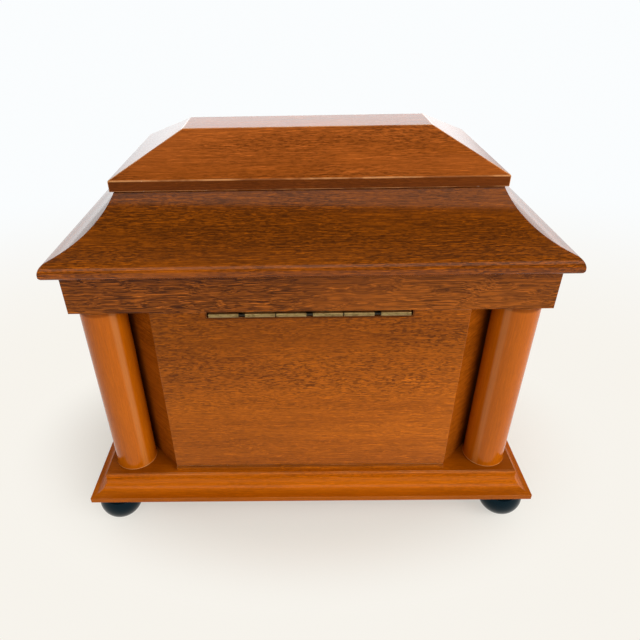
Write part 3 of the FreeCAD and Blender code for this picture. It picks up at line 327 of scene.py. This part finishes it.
def from_column(points, moved=(0.0, 0.0)):
    """How far a point is, in plan, from the nearest corner column's axis, or from a line moved from it."""
    low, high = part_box("column_back_right")
    axis = [(low[way] + high[way]) / 2 / MM + moved[way] for way in (0, 1)]
    across, along = (abs(points.part(way)) - centre for way, centre in zip("XY", axis))
    return across.maths("SQRT", across * across + along * along)


def ledge_painted_shade(points):
    """Painted shade on the board's upper face, by height, and painted shadow in the corners behind the
    columns.
    """
    upper = (points.part("Z") - BOARD_TOP).step(-0.8, -0.1)
    corners = 1.0 - from_column(points).step(14.0, 30.0)
    return upper * (0.36 + corners * 0.4)


base_finish = lacquered_cherry("base_board", ALONG_X, PLINTH_TONES, streak=0.35, pore=0.3,
                               shift=(11.0, 40.0, 8.0), shaded=ledge_painted_shade)
sanded("base_board", base_finish, ease=0.15)

# Ball feet: turned beech with a small flat below, sprayed gloss black.
# Each has a tenon on top that is glued into a hole in the plinth's corner.
LACQUER_BLACK = (0.001, 0.004, 0.007)
DUSTY_BLACK = (0.012, 0.016, 0.02)
COOL_SHINE = (0.3, 0.72, 1.0)
foot_finish, points = start_finish("black_lacquer")
dust = points.stretched(0.9, 0.9, 0.9).noise(4.0, 0.6).step(0.5, 0.8)
rubs = points.stretched(0.15, 0.15, 2.5).noise(2.0, 0.5).step(0.55, 0.75)
end_finish(points, {
    "Base Color": (dust * 0.2).mix(paint(LACQUER_BLACK), paint(DUSTY_BLACK)),
    "Roughness": 0.08 + rubs * 0.06 + dust * 0.12,
    "Specular IOR Level": 0.22,
    "Specular Tint": paint(COOL_SHINE),
})
CORNERS = ("front_left", "front_right", "back_left", "back_right")
for corner in CORNERS:
    sanded("foot_" + corner, foot_finish, ease=0.3)

# Walls: four veneered boards glued upright on the base board, grain along them, with fine dark pores.
# A bead runs along the foot of each, with a line of painted shade over it, and the upper part under the rim
# is darker in patches, as painted shade and darker figure.
BEAD_HEIGHT = 2.6
BEAD_TOP = BOARD_TOP + BEAD_HEIGHT
UNDER_RIM_SHADE_LEVELS = (84.0, 114.0)
PORE_LEVELS = (62.0, 92.0)
DARKENING_SPAN = (-80.0, 90.0)


def wall_painted_shade(points):
    """Painted shade and darker figure over the upper third, under the rim, in patches, and a painted shade
    line over the bead.
    """
    height = points.part("Z")
    cloud = points.stretched(0.012, 0.012, 0.03).noise(2.0, 0.5).step(0.3, 0.6)
    over_bead = height - BEAD_TOP
    bead_shade_line = over_bead.step(-1.0, -0.4) * (1.0 - over_bead.step(0.3, 0.8))
    return height.step(*UNDER_RIM_SHADE_LEVELS) * (0.1 + cloud * 0.2) + bead_shade_line * 0.5


def hinge_wall_painted_shade(points):
    """The same, with painted shade darker towards the end away from the lamps, and a painted shadow line
    under the hinge's mortise.
    """
    low, high = ([end / MM for end in corner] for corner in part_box("hinge_leaf_case"))
    beside = abs(points.part("X")) - high[0]
    line = (points.part("Z") - low[2]).step(-1.0, -0.5) * (1.0 - beside.step(1.2, 1.8))
    shaded_end = points.part("X").step(*DARKENING_SPAN) * 0.2
    return (wall_painted_shade(points) + shaded_end) * (1.0 - line) + line * 0.85


def wall_pores(points):
    """Close together over the upper half of a wall."""
    return 0.15 + points.part("Z").step(*PORE_LEVELS) * 0.85


PANEL_TONES = ((0.12, 0.029, 0.002), (0.43, 0.102, 0.003), (0.56, 0.139, 0.004))
for number, (side, turned) in enumerate(SIDES.items()):
    finish = lacquered_cherry("panel_" + side, turned, PANEL_TONES, streak=0.45, pore=0.6,
                              shift=(57.0 * number, 21.0, 33.0), wave=9.0,
                              shaded=hinge_wall_painted_shade if side == "back" else wall_painted_shade, pored=wall_pores,
                              gloss=1.24)
    sanded("panel_" + side, finish, ease=0.3)

# Canted corner boards: butted and glued between the walls behind the columns, their grain along them.
# The crevice beside each column is painted dark as shade.
def crevice_painted_shade(points):
    """Painted shade close to the corner column, in plan."""
    return (1.0 - from_column(points).step(10.4, 14.0)) * 0.9


CANT_TONES = ((0.11, 0.024, 0.001), (0.27, 0.062, 0.003), (0.36, 0.085, 0.005))
CANT_TURNS = {"front_left": (0, 0, 45), "front_right": (0, 0, -45), "back_left": (0, 0, -45),
              "back_right": (0, 0, 45)}
for number, corner in enumerate(CORNERS):
    finish = lacquered_cherry("cant_" + corner, CANT_TURNS[corner], CANT_TONES, streak=0.35, pore=0.3,
                              shift=(13.0 * number, 5.0, 9.0), shaded=crevice_painted_shade)
    sanded("cant_" + corner, finish, ease=0.2)

# Corner columns: turned dowel with a small flare at the foot, upright grain, the same orange as the plinth.
# A tenon seats each one in the base board, and its top stands just clear of the lid's rim.
COLUMN_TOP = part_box("column_back_right")[1][2] / MM
HIGHLIGHT_STREAK_PLACE = (-6.6, 7.5)


def column_top_painted_shade(points):
    """Painted shade on the end under the rim, where the gap lies dark."""
    return (points.part("Z") - COLUMN_TOP).step(-2.4, -1.2) * 0.6


def column_painted_highlights(points):
    """A painted highlight on the thin edge of the flare, and a painted reflection as a pale streak up the
    inner side.
    """
    foot = 1.0 - (points.part("Z") - BOARD_TOP).step(0.3, 0.7)
    streak = 1.0 - from_column(points, HIGHLIGHT_STREAK_PLACE).step(0.6, 2.2)
    return foot * 0.75 + streak * 0.2


COLUMN_TONES = ((0.26, 0.055, 0.001), (0.46, 0.105, 0.002), (0.52, 0.122, 0.002))
for number, corner in enumerate(CORNERS):
    finish = lacquered_cherry("column_" + corner, ALONG_Z, COLUMN_TONES, streak=0.16, pore=0.06,
                              shift=(19.0 * number, 3.0, 6.0), wave=1.5, shaded=column_top_painted_shade,
                              painted_highlight=column_painted_highlights, gloss=1.27)
    sanded("column_" + corner, finish, ease=0.2)

# Partition and glass cleats: plain cherry strips glued inside the case, oiled and hardly lacquered.
# The partition parts the movement from the jewellery well, and the cleats carry the glass.
INNER_TONES = ((0.16, 0.055, 0.016), (0.33, 0.13, 0.045), (0.42, 0.175, 0.065))
partition_finish = lacquered_cherry("partition", ALONG_Y, INNER_TONES, streak=0.5, pore=0.4,
                                    shift=(5.0, 12.0, 77.0), coat=0.15)
for node in ("partition", "glass_cleats"):
    sanded(node, partition_finish, ease=0.3)

# Jewellery well: a board padded with wadding and covered with wine red velvet, pushed down between the walls.
# The pad is full in the middle and drawn down along its edges.
NAP_DARK = (0.14, 0.007, 0.013)
NAP_LIGHT = (0.21, 0.012, 0.02)
PILE_SHADOW = (0.07, 0.003, 0.006)
PILE_SHEEN = (0.8, 0.2, 0.2)
PILE_DEPTH = 0.3


def velvet(name):
    """Cut pile that lies in brushed patches, with a bright nap at the edges."""
    material, points = start_finish(name)
    brushed = points.stretched(0.05, 0.025, 0.05).noise(4.0, 0.7).step(0.3, 0.7)
    pile = points.stretched(2.0, 2.0, 2.0).noise(3.0, 0.7)
    colour = brushed.mix(paint(NAP_DARK), paint(NAP_LIGHT))
    colour = (pile.step(0.5, 0.7) * 0.6).mix(colour, paint(PILE_SHADOW))
    end_finish(points, {
        "Base Color": colour,
        "Roughness": 0.85 + brushed * 0.1,
        "Specular IOR Level": 0.2,
        "Sheen Weight": 0.3,
        "Sheen Roughness": 0.35,
        "Sheen Tint": paint(PILE_SHEEN),
    }, relief=pile, relief_depth=PILE_DEPTH)
    return material


def away_from_edges(point, edges):
    """How far a point lies from the nearest of the outline's edges, in plan."""
    nearest = math.inf
    for start, end in edges:
        along = end - start
        share = max(0.0, min(1.0, (point - start).dot(along) / along.length_squared))
        nearest = min(nearest, (point - start - along * share).length)
    return nearest


SAME_LEVEL = 0.01 * MM
RIPPLE_DEPTH = 0.12
RIPPLES_X = 210
RIPPLES_Y = 170


def velvet_pad(node, finish, soft_side, cells, dip, roll):
    """A CAD lining board as a padded one: its soft side (1 up, -1 down) dips along the outline.

    cells is the mesh's size, dip how far the edge is drawn down and roll how fast it rises, all in mm.
    """
    low, high = (Vector(corner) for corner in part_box(node))
    work = cad_mesh(node)
    merge_flats(work)
    level = high.z if soft_side > 0 else low.z
    outline = [(edge.verts[0].co.xy.copy(), edge.verts[1].co.xy.copy()) for edge in work.edges
               if all(abs(vert.co.z - level) < SAME_LEVEL for vert in edge.verts)]
    for axis, normal in enumerate((Vector((1, 0, 0)), Vector((0, 1, 0)))):
        span = high[axis] - low[axis]
        count = int(span / (cells * MM))
        for step in range(1, count):
            cut = low + normal * (span * step / count)
            bmesh.ops.bisect_plane(work, geom=work.verts[:] + work.edges[:] + work.faces[:], plane_co=cut,
                                   plane_no=normal)
    bmesh.ops.triangulate(work, faces=[face for face in work.faces if len(face.verts) > 4])
    for vert in work.verts:
        if abs(vert.co.z - level) < SAME_LEVEL:
            fall = math.exp(-away_from_edges(vert.co.xy, outline) / (roll * MM))
            ripple = math.sin(vert.co.x * RIPPLES_X) * math.sin(vert.co.y * RIPPLES_Y + 1.0)
            vert.co.z -= soft_side * (dip * fall + RIPPLE_DEPTH * (1 - fall) * (1 + ripple)) * MM
    piece = add_piece("velvet_" + node, work, finish, frame["nodes"][node]["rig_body"], node, "velvet")
    smooth = piece.modifiers.new("soft", "SUBSURF")
    smooth.levels = 1
    smooth.render_levels = 1
    smooth.boundary_smooth = "PRESERVE_CORNERS"


wine_velvet = velvet("wine_velvet")
velvet_pad("well_lining_board", wine_velvet, soft_side=1, cells=3.0, dip=1.4, roll=2.2)

# Lid rim: four mitred boards of streaky lacquered wood, glued under the cove.
# They sit on the walls when the lid is shut, and the back one carries the hinge's upper leaf.
RIM_TONES = ((0.060, 0.014, 0.001), (0.26, 0.064, 0.004), (0.37, 0.096, 0.007))
for number, (side, turned) in enumerate(SIDES.items()):
    finish = lacquered_cherry("rim_" + side, turned, RIM_TONES, streak=0.75, pore=0.4,
                              shift=(95.0 + 23.0 * number, 60.0, 14.0), wave=8.0, reach=2.5)
    sanded("rim_" + side, finish, ease=0.3, mitred=True)

# Cove moulding: four mitred lengths, a round nose under a deep hollow, stained darker than the walls.
# The hollow is darker than the nose, by height, and its lacquer thinner.
HOLLOW_LEVELS = (147.0, 158.0)


def hollow_darkening(points):
    """The hollow above the nose, by height."""
    return points.part("Z").step(*HOLLOW_LEVELS) * 0.33


COVE_TONES = ((0.080, 0.017, 0.0005), (0.27, 0.061, 0.0008), (0.35, 0.082, 0.001))
for number, (side, turned) in enumerate(SIDES.items()):
    finish = lacquered_cherry("cove_" + side, turned, COVE_TONES, streak=0.6, pore=0.5,
                              shift=(41.0 * number, 80.0, 27.0), wave=4.0, shaded=hollow_darkening, gloss=1.3)
    sanded("cove_" + side, finish, ease=0.2, mitred=True)

# Lid block: a flat board with a plain edge band and a hipped top, glued on the cove.
# The upright band took more stain than the slopes; the slopes are darker low down, leaving a painted pale
# reflection on their upper part, and the end slopes outside the hips are darker and less lacquered.
BAND_HEIGHT = 4.6
LOWER_SLOPE = (177.0, 187.0)


def band_stain_and_painted_sheen(points):
    """The upright band's stain, darkening low on the slopes that leaves a painted reflection above, and the
    end slopes outside the hips.
    """
    low, high = ([end / MM for end in corner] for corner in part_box("lid_block"))
    height = points.part("Z")
    band = 1.0 - (height - (low[2] + BAND_HEIGHT)).step(-0.2, 0.1)
    across, along = (abs(points.part(way)) for way in "XY")
    past_hip = across - along - (high[0] - high[1])
    end_slope = past_hip.step(-0.2, 0.2) * (1.0 - (height - high[2]).step(-0.6, -0.3))
    return band * 0.68 + (1.0 - height.step(*LOWER_SLOPE)) * 0.12 + (1.0 - band) * end_slope * 0.3


BLOCK_TONES = ((0.15, 0.032, 0.002), (0.36, 0.083, 0.007), (0.46, 0.112, 0.014))
HIP_EDGE = math.radians(12)
block_finish = lacquered_cherry("lid_block", ALONG_X, BLOCK_TONES, streak=0.55, pore=0.5,
                                shift=(70.0, 90.0, 45.0), wave=4.0, shaded=band_stain_and_painted_sheen, haze=0.1)
sanded("lid_block", block_finish, ease=0.4, sharpness=HIP_EDGE)

# Lid lining: a thin board padded and covered with the same velvet, facing down into the box.
# It is glued into the recess inside the rim.
velvet_pad("lid_lining_panel", wine_velvet, soft_side=-1, cells=4.0, dip=1.0, roll=2.0)

# Strip hinge: two rolled brass leaves whose knuckles turn on a steel pin, let into the back wall and the rim.
# Lacquered once, and now dull in patches; the old steel pin is dark, and darker still as painted shade in the
# gaps between the knuckles.
MARK_DEPTH = 0.01


def aged_metal(name, bright, dull, roughness, spots):
    """Metal that has dulled in patches, with fine rubbing marks along X and spots of grime; marked recesses
    get painted shade, near black.
    """
    material, points = start_finish(name)
    patches = points.stretched(0.35, 0.9, 0.9).noise(4.0, 0.65).step(0.4, 0.7)
    marks = points.stretched(0.25, 6.0, 6.0).noise(2.0, 0.5)
    grime = points.stretched(1.4, 1.4, 1.4).noise(3.0, 0.7).step(0.58, 0.72) * spots
    recess = points.node("Attribute", {"attribute_name": "recess"}, {}, "Fac")
    colour = patches.mix(paint(bright), paint(dull))
    colour = grime.mix(colour, paint(dull, 0.2))
    # Painted shade: faces marked as a recess, the screws' slots, are coloured near black.
    colour = (recess * 0.9).mix(colour, paint(dull, 0.1))
    end_finish(points, {
        "Base Color": colour,
        "Metallic": 1.0,
        "Roughness": roughness + patches * 0.14 + marks * 0.12 + recess * 0.2,
    }, relief=marks, relief_depth=MARK_DEPTH)
    return material


aged_brass = aged_metal("aged_brass", bright=(0.38, 0.27, 0.115), dull=(0.20, 0.137, 0.055),
                        roughness=0.3, spots=0.7)
# The pin's steel is old and dark, and darker still as painted shade where it shows between the knuckles.
hinge_pin_steel_and_gap_shade = aged_metal("hinge_pin_steel_and_gap_shade", bright=(0.06, 0.054, 0.042), dull=(0.03, 0.027, 0.02),
                         roughness=0.4, spots=0.5)
for node in ("hinge_leaf_case", "hinge_leaf_lid"):
    sanded(node, aged_brass, ease=0.08)
sanded("hinge_pin", hinge_pin_steel_and_gap_shade, ease=0.05)

# Hinge screws: small slotted brass screws, turned from bar and driven through the leaves.
# Their slots stand at odd angles, as a screwdriver leaves them, and are painted near black inside as shade.
HEAD_EDGE = 0.9
CROWN_SHARE = 0.93
CHAMFER_DEPTH = 0.2
SLOT_SHARE = 0.17
SLOT_DEPTH = 0.55
SHANK_TAPER = 0.98
POINT_SHARE = 0.45
POINT_LENGTH = 0.12
ARC_STEPS = 9
FIRST_TURN = 0.7
NEXT_TURN = 1.9


def loose_parts(node):
    """The points of each separate body in a CAD node."""
    work = cad_mesh(node)
    left = set(work.verts)
    parts = []
    for first in work.verts:
        if first not in left:
            continue
        left.remove(first)
        reached = [first]
        for vert in reached:
            for edge in vert.link_edges:
                other = edge.other_vert(vert)
                if other in left:
                    left.remove(other)
                    reached.append(other)
        parts.append([vert.co.copy() for vert in reached])
    work.free()
    return parts


def screw_rings(points):
    """A CAD screw's axis in plan, its head and shank radius, and the levels of top, seat and tip."""
    low = min(point.z for point in points)
    high = max(point.z for point in points)
    middle = sum((point.xy for point in points), Vector((0, 0))) / len(points)
    reach = [(point.xy - middle).length for point in points]
    head = max(reach)
    head_levels = [point.z for point, radius in zip(points, reach) if radius > HEAD_EDGE * head]
    shank = max(radius for radius in reach if radius < HEAD_EDGE * head)
    if max(head_levels) > high - SAME_LEVEL:
        return middle, head, shank, high, min(head_levels), low
    return middle, head, shank, low, max(head_levels), high


def slotted_screw(work, points, turn):
    """Adds one screw: a slotted head, a shank and a blunt tip, on one ring of corners."""
    middle, head, shank, top, seat, tip = screw_rings(points)
    half = math.asin(SLOT_SHARE)
    angles = [half + (math.pi - 2 * half) * step / ARC_STEPS for step in range(ARC_STEPS + 1)]
    angles += [angle + math.pi for angle in angles]

    def ring(radius, level):
        return [work.verts.new((middle.x + radius * math.cos(angle + turn),
                                middle.y + radius * math.sin(angle + turn), level)) for angle in angles]

    crown = ring(head * CROWN_SHARE, top)
    edge = ring(head, top + (seat - top) * CHAMFER_DEPTH)
    waist = ring(head, top + (seat - top) * SLOT_DEPTH)
    under = ring(head, seat)
    neck = ring(shank, seat)
    end = ring(shank * SHANK_TAPER, tip - (tip - seat) * POINT_LENGTH)
    point = ring(shank * POINT_SHARE, tip)
    side = ARC_STEPS + 1
    total = len(angles)
    for step in range(total):
        after = (step + 1) % total
        in_slot = step in (ARC_STEPS, total - 1)
        if not in_slot:
            work.faces.new((crown[step], crown[after], edge[after], edge[step]))
            work.faces.new((edge[step], edge[after], waist[after], waist[step]))
        for upper, lower in ((waist, under), (under, neck), (neck, end), (end, point)):
            work.faces.new((upper[step], upper[after], lower[after], lower[step]))
    work.faces.new(point)
    work.faces.new(crown[:side])
    work.faces.new(crown[side:])
    slot = [work.faces.new((waist[0], waist[side - 1], waist[side], waist[total - 1]))]
    for first, last in ((0, side - 1), (side, total - 1)):
        slot.append(work.faces.new((crown[first], edge[first], waist[first],
                                    waist[last], edge[last], crown[last])))
    # The slot's faces are marked as a recess, which the finish paints near black as shade.
    for face in slot:
        for loop in face.loops:
            loop[work.loops.layers.float["recess"]] = 1.0
    bmesh.ops.recalc_face_normals(work, faces=work.faces)


def slotted_screws(node, finish):
    """All of a CAD node's screws, each turned differently."""
    work = bmesh.new()
    work.loops.layers.float.new("recess")
    for number, points in enumerate(loose_parts(node)):
        slotted_screw(work, points, FIRST_TURN + NEXT_TURN * number)
    add_piece("slotted_" + node, work, finish, frame["nodes"][node]["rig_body"], node, slot_of(node))


screw_brass = aged_metal("screw_brass", bright=(0.66, 0.48, 0.20), dull=(0.42, 0.29, 0.11),
                         roughness=0.22, spots=0.4)
for node in ("hinge_screws_case", "hinge_screws_lid"):
    slotted_screws(node, screw_brass)

# Bedplate and comb bridge: the frame of the movement, cast and gilt, on four bosses over the base board.
# Steel screws from below hold it, and others the comb; the bearings are cut from sheet brass and stand on it.
PIT_DEPTH = 0.04


def cast_metal(name, bright, dull):
    """A cast surface: slightly pitted, gilt, with darker hollows."""
    material, points = start_finish(name)
    pits = points.stretched(2.2, 2.2, 2.2).noise(4.0, 0.65)
    cloud = points.stretched(0.12, 0.12, 0.12).noise(3.0, 0.6).step(0.35, 0.7)
    colour = cloud.mix(paint(bright), paint(dull))
    colour = (pits.step(0.56, 0.75) * 0.5).mix(colour, paint(dull, 0.5))
    end_finish(points, {
        "Base Color": colour,
        "Metallic": 1.0,
        "Roughness": 0.34 + cloud * 0.12 + pits * 0.1,
    }, relief=pits, relief_depth=PIT_DEPTH)
    return material


gilt = cast_metal("gilt_casting", bright=(0.72, 0.54, 0.24), dull=(0.52, 0.36, 0.14))
for node in ("bedplate", "comb_bridge"):
    sanded(node, gilt, ease=0.2)
bright_steel = aged_metal("bright_steel", bright=(0.58, 0.58, 0.58), dull=(0.42, 0.42, 0.43),
                          roughness=0.22, spots=0.25)
for node in ("bedplate_screws", "comb_screws"):
    slotted_screws(node, bright_steel)
movement_brass = aged_metal("movement_brass", bright=(0.72, 0.53, 0.22), dull=(0.52, 0.36, 0.13),
                            roughness=0.24, spots=0.3)
for node in ("governor_frame", "cylinder_bearing", "governor_bracket"):
    sanded(node, movement_brass, ease=0.12)

# Spring motor: a drawn brass housing round a blued steel spring, standing on the bedplate.
# A brass crown wheel and, under the base board, a bow key are fixed on its steel arbor.
sanded("spring_housing", movement_brass, ease=0.2)
blued_steel = aged_metal("blued_steel", bright=(0.10, 0.13, 0.24), dull=(0.07, 0.08, 0.12),
                         roughness=0.3, spots=0.2)
sanded("mainspring", blued_steel, ease=0.04)
sanded("winding_arbor", bright_steel, ease=0.15)
sanded("crown_wheel", movement_brass, ease=0.08)
sanded("winding_key", aged_brass, ease=0.35)

# Cylinder: a drawn brass tube turned smooth, on a steel arbor with its wheel.
# Steel pins are driven in along one track for each tooth of the comb.
TUBE_BRIGHT = (0.74, 0.55, 0.23)
TUBE_TARNISH = (0.50, 0.34, 0.12)
RING_DEPTH = 0.015
tube_finish, points = start_finish("turned_brass")
rings = points.stretched(5.0, 0.02, 0.02).noise(3.0, 0.7)
tarnish = points.stretched(0.12, 0.2, 0.2).noise(4.0, 0.6).step(0.4, 0.75)
end_finish(points, {
    "Base Color": tarnish.mix(paint(TUBE_BRIGHT), paint(TUBE_TARNISH)),
    "Metallic": 1.0,
    "Roughness": 0.2 + rings * 0.14 + tarnish * 0.12,
}, relief=rings, relief_depth=RING_DEPTH)
sanded("cylinder", tube_finish, ease=0.15)
sanded("cylinder_wheel", movement_brass, ease=0.06)
sanded("cylinder_arbor", bright_steel, ease=0.05)

PIN_TRIES = 9
PIN_FACES = 8
PIN_SPACING = 0.2
PIN_SUNK = 0.03 * MM
PIN_RADIUS = 0.24 * MM
PIN_SHOULDER = (0.12 * MM, 0.22 * MM)
PIN_TIP = (0.04 * MM, 0.13 * MM)
random.seed(18)
tube_low, tube_high = (Vector(corner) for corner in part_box("cylinder"))
tube_axis = (tube_low + tube_high) / 2
tube_radius = (tube_high.z - tube_low.z) / 2
pin_spots = {}
pin_top = 0.0
for part in loose_parts("cylinder_pins"):
    foot = sum(part, Vector()) / len(part)
    pin_angle = math.atan2(foot.y - tube_axis.y, foot.z - tube_axis.z)
    pin_spots.setdefault(round(foot.x, 4), []).append(pin_angle)
    pin_top = max(pin_top, max((point.yz - tube_axis.yz).length for point in part))
pin_outline = [(tube_radius - PIN_SUNK, PIN_RADIUS)]
pin_outline += [(pin_top - drop, radius) for drop, radius in (PIN_SHOULDER, PIN_TIP)]
lengthways = Vector((1, 0, 0))
work = bmesh.new()
for across, angles in sorted(pin_spots.items()):
    for attempt in range(PIN_TRIES):
        fresh = random.uniform(-math.pi, math.pi)
        if all(abs(math.remainder(fresh - angle, math.tau)) > PIN_SPACING for angle in angles):
            angles.append(fresh)
    for angle in angles:
        outward = Vector((0, math.sin(angle), math.cos(angle)))
        sideways = Vector((0, math.cos(angle), -math.sin(angle)))
        rows = []
        for height, radius in pin_outline:
            centre = Vector((across, tube_axis.y, tube_axis.z)) + outward * height
            row = []
            for step in range(PIN_FACES):
                turn = math.tau * step / PIN_FACES
                row.append(work.verts.new(centre + lengthways * (radius * math.cos(turn))
                                          + sideways * (radius * math.sin(turn))))
            rows.append(row)
        for low_row, high_row in zip(rows, rows[1:]):
            for step in range(PIN_FACES):
                after = (step + 1) % PIN_FACES
                work.faces.new((low_row[step], low_row[after], high_row[after], high_row[step]))
        work.faces.new(rows[-1])
        work.faces.new(list(reversed(rows[0])))
bmesh.ops.recalc_face_normals(work, faces=work.faces)
add_piece("round_cylinder_pins", work, bright_steel, "cylinder", "cylinder_pins", "bright_steel")

# Comb: one piece of hardened steel sawn into eighteen teeth and ground bright along them.
# It is screwed down on its bridge.
COMB_BRIGHT = (0.56, 0.57, 0.59)
COMB_TEMPERED = (0.36, 0.37, 0.42)
STROKE_DEPTH = 0.02
comb_finish, points = start_finish("ground_steel")
strokes = points.stretched(4.0, 0.12, 0.12).noise(2.0, 0.6)
temper = points.stretched(0.05, 0.16, 0.16).noise(2.0, 0.5).step(0.45, 0.75)
end_finish(points, {
    "Base Color": temper.mix(paint(COMB_BRIGHT), paint(COMB_TEMPERED)),
    "Metallic": 1.0,
    "Roughness": 0.2 + strokes * 0.2,
}, relief=strokes, relief_depth=STROKE_DEPTH)
sanded("comb", comb_finish, ease=0.08)

# Governor and stop: bright steel, turned and cut; a worm with its fly on a slim upright arbor,
# driven by the wheel of the governor's arbor, and the plunger that the shut lid presses down.
sanded("governor_arbor", bright_steel, ease=0.05)
sanded("endless_screw", bright_steel, ease=0.03)
sanded("stop_plunger", bright_steel, ease=0.2)

# Glass over the movement: a thin clear pane with ground edges, a little smeared by fingers.
# It lies loose on its cleats.
GLASS_TINT = (0.93, 0.97, 0.95)
glass_finish, points = start_finish("clear_glass")
smears = points.stretched(0.06, 0.03, 0.06).noise(4.0, 0.6).step(0.5, 0.8)
end_finish(points, {
    "Base Color": paint(GLASS_TINT),
    "Roughness": 0.02 + smears * 0.06,
    "Transmission Weight": 1.0,
    "IOR": 1.45,
    "Alpha": 0.12 + smears * 0.06,
})
sanded("glass_pane", glass_finish, ease=0.3)

# Floor: a plain pale sweep of painted board, laid flat under the box.
# It takes the box's shadow and brightens to white further off.
FLOOR_HALF = 9.0
FLOOR_DARK = (0.82, 0.80, 0.755)
FLOOR_LIGHT = (0.87, 0.85, 0.81)
NEAR_WHITE = (0.93, 0.90, 0.84)
BACKDROP_WHITE = (0.96, 0.98, 0.99)
SHADOW_SPAN = (112.0, 185.0)
SHADOW_SQUEEZE = 1.6
WHITE_SPAN = (200.0, 800.0)
LEAST_WHITE = 0.45
floor_mesh = bpy.data.meshes.new("floor")
work = bmesh.new()
bmesh.ops.create_grid(work, x_segments=8, y_segments=8, size=FLOOR_HALF)
work.to_mesh(floor_mesh)
work.free()
floor = bpy.data.objects.new("floor", floor_mesh)
bpy.context.scene.collection.objects.link(floor)
floor_finish, points = start_finish("pale_floor")
mottle = points.stretched(0.01, 0.01, 0.01).noise(4.0, 0.6)
ground = points.node("BsdfPrincipled", {}, {
    "Base Color": mottle.mix(paint(FLOOR_DARK), paint(FLOOR_LIGHT)),
    "Roughness": 0.6,
    "Specular IOR Level": 0.2,
})
squeezed = points.stretched(1.0, SHADOW_SQUEEZE, 1.0)
away = squeezed.node("VectorMath", {"operation": "LENGTH"}, {0: squeezed}, "Value")
far_white = away.step(*WHITE_SPAN).mix(paint(NEAR_WHITE), paint(BACKDROP_WHITE))
white = points.node("Emission", {}, {"Color": far_white, "Strength": 1.0})
SEEN_RAYS = ("Is Camera Ray", "Is Glossy Ray", "Is Transmission Ray")
by_camera, by_gloss, by_glass = (points.node("LightPath", {}, {}, name) for name in SEEN_RAYS)
seen = by_gloss.maths("MAXIMUM", by_gloss, by_glass)
seen = by_camera.maths("MAXIMUM", by_camera, seen)
whitened = (LEAST_WHITE + away.step(*SHADOW_SPAN) * (1.0 - LEAST_WHITE)) * seen
blended = points.node("MixShader", {}, {0: whitened, 1: ground, 2: white})
points.node("OutputMaterial", {}, {"Surface": blended})
floor_mesh.materials.append(floor_finish)

# Light: an even pale room, dim overhead and on the hinge side, whose backdrop camera and glass see as white.
# A large soft lamp and a strip stand over the hinge side, and a low wide lamp stands behind the box.
PALE_GLOW = (0.95, 0.97, 1.0)
DIM_GLOW = (0.28, 0.26, 0.21)
DIM_OVERHEAD = (0.3, 0.75)
DIM_HINGE_SIDE = (0.0, 0.6)
world = bpy.data.worlds.new("room")
bpy.context.scene.world = world
world.use_nodes = True
world.node_tree.nodes.clear()
room = Shade(world.node_tree, None)
way = room.node("TexCoord", {}, {}, "Generated")
dim = way.part("Z").step(*DIM_OVERHEAD) + way.part("Y").step(*DIM_HINGE_SIDE)
dim = dim.maths("MINIMUM", dim, 1.0)
sky = room.node("Background", {}, {"Color": dim.mix(paint(PALE_GLOW), paint(DIM_GLOW)), "Strength": 1.0})
shown = room.node("Background", {}, {"Color": paint(BACKDROP_WHITE), "Strength": 1.0})
by_camera, by_gloss, by_glass = (room.node("LightPath", {}, {}, name) for name in SEEN_RAYS)
backdrop = by_camera + by_glass + by_gloss * (1.0 - dim)
lit = room.node("MixShader", {}, {0: backdrop, 1: sky, 2: shown})
room.node("OutputWorld", {}, {"Surface": lit})


def soft_lamp(name, place, towards, width, height, power, tint, mirrored):
    """A large area lamp at a place, turned towards a point; mirrored ones show in the lacquer."""
    data = bpy.data.lights.new(name, "AREA")
    data.shape = "RECTANGLE"
    data.size = width
    data.size_y = height
    data.energy = power
    data.color = tint
    lamp = bpy.data.objects.new(name, data)
    lamp.location = place
    lamp.rotation_euler = (Vector(towards) - Vector(place)).to_track_quat("-Z", "Y").to_euler()
    lamp.visible_camera = False
    lamp.visible_glossy = mirrored
    bpy.context.scene.collection.objects.link(lamp)


BOX_MIDDLE = (0, 0, 0.08)
LID_TOP = (0, 0, 0.2)
soft_lamp("lamp_hinge_side", (-1.3, 0.8, 0.9), BOX_MIDDLE, width=1.1, height=0.9, power=16.5,
          tint=(1, 1, 1), mirrored=False)
soft_lamp("lamp_strip", (-0.3, 1.0, 1.0), BOX_MIDDLE, width=2.6, height=0.6, power=9.0,
          tint=(1, 0.97, 0.9), mirrored=True)
soft_lamp("lamp_behind", (0.0, -1.2, 0.56), LID_TOP, width=3.4, height=1.1, power=14.0,
          tint=(0.9, 0.97, 1.0), mirrored=True)

# Camera: above and behind the box, on its hinge side.
# Its place, turn and lens were fitted to the box's edges, and its small shift to the picture's frame.
CAMERA_PLACE = (0.00398, 0.25354, 0.24422)
CAMERA_TURN = (57.7722, 0.9209, -179.8128)
FOCAL_LENGTH = 30.556
SENSOR_WIDTH = 36.0
FRAME_SHIFT = (0.0405, -0.0016)
NEAREST_SEEN = 0.01
camera_data = bpy.data.cameras.new("camera")
camera_data.sensor_width = SENSOR_WIDTH
camera_data.lens = FOCAL_LENGTH
camera_data.shift_x, camera_data.shift_y = FRAME_SHIFT
camera_data.clip_start = NEAREST_SEEN
camera = bpy.data.objects.new("camera", camera_data)
camera.location = CAMERA_PLACE
camera.rotation_euler = [math.radians(angle) for angle in CAMERA_TURN]
bpy.context.scene.collection.objects.link(camera)
bpy.context.scene.camera = camera
bpy.context.scene.view_settings.view_transform = "Standard"
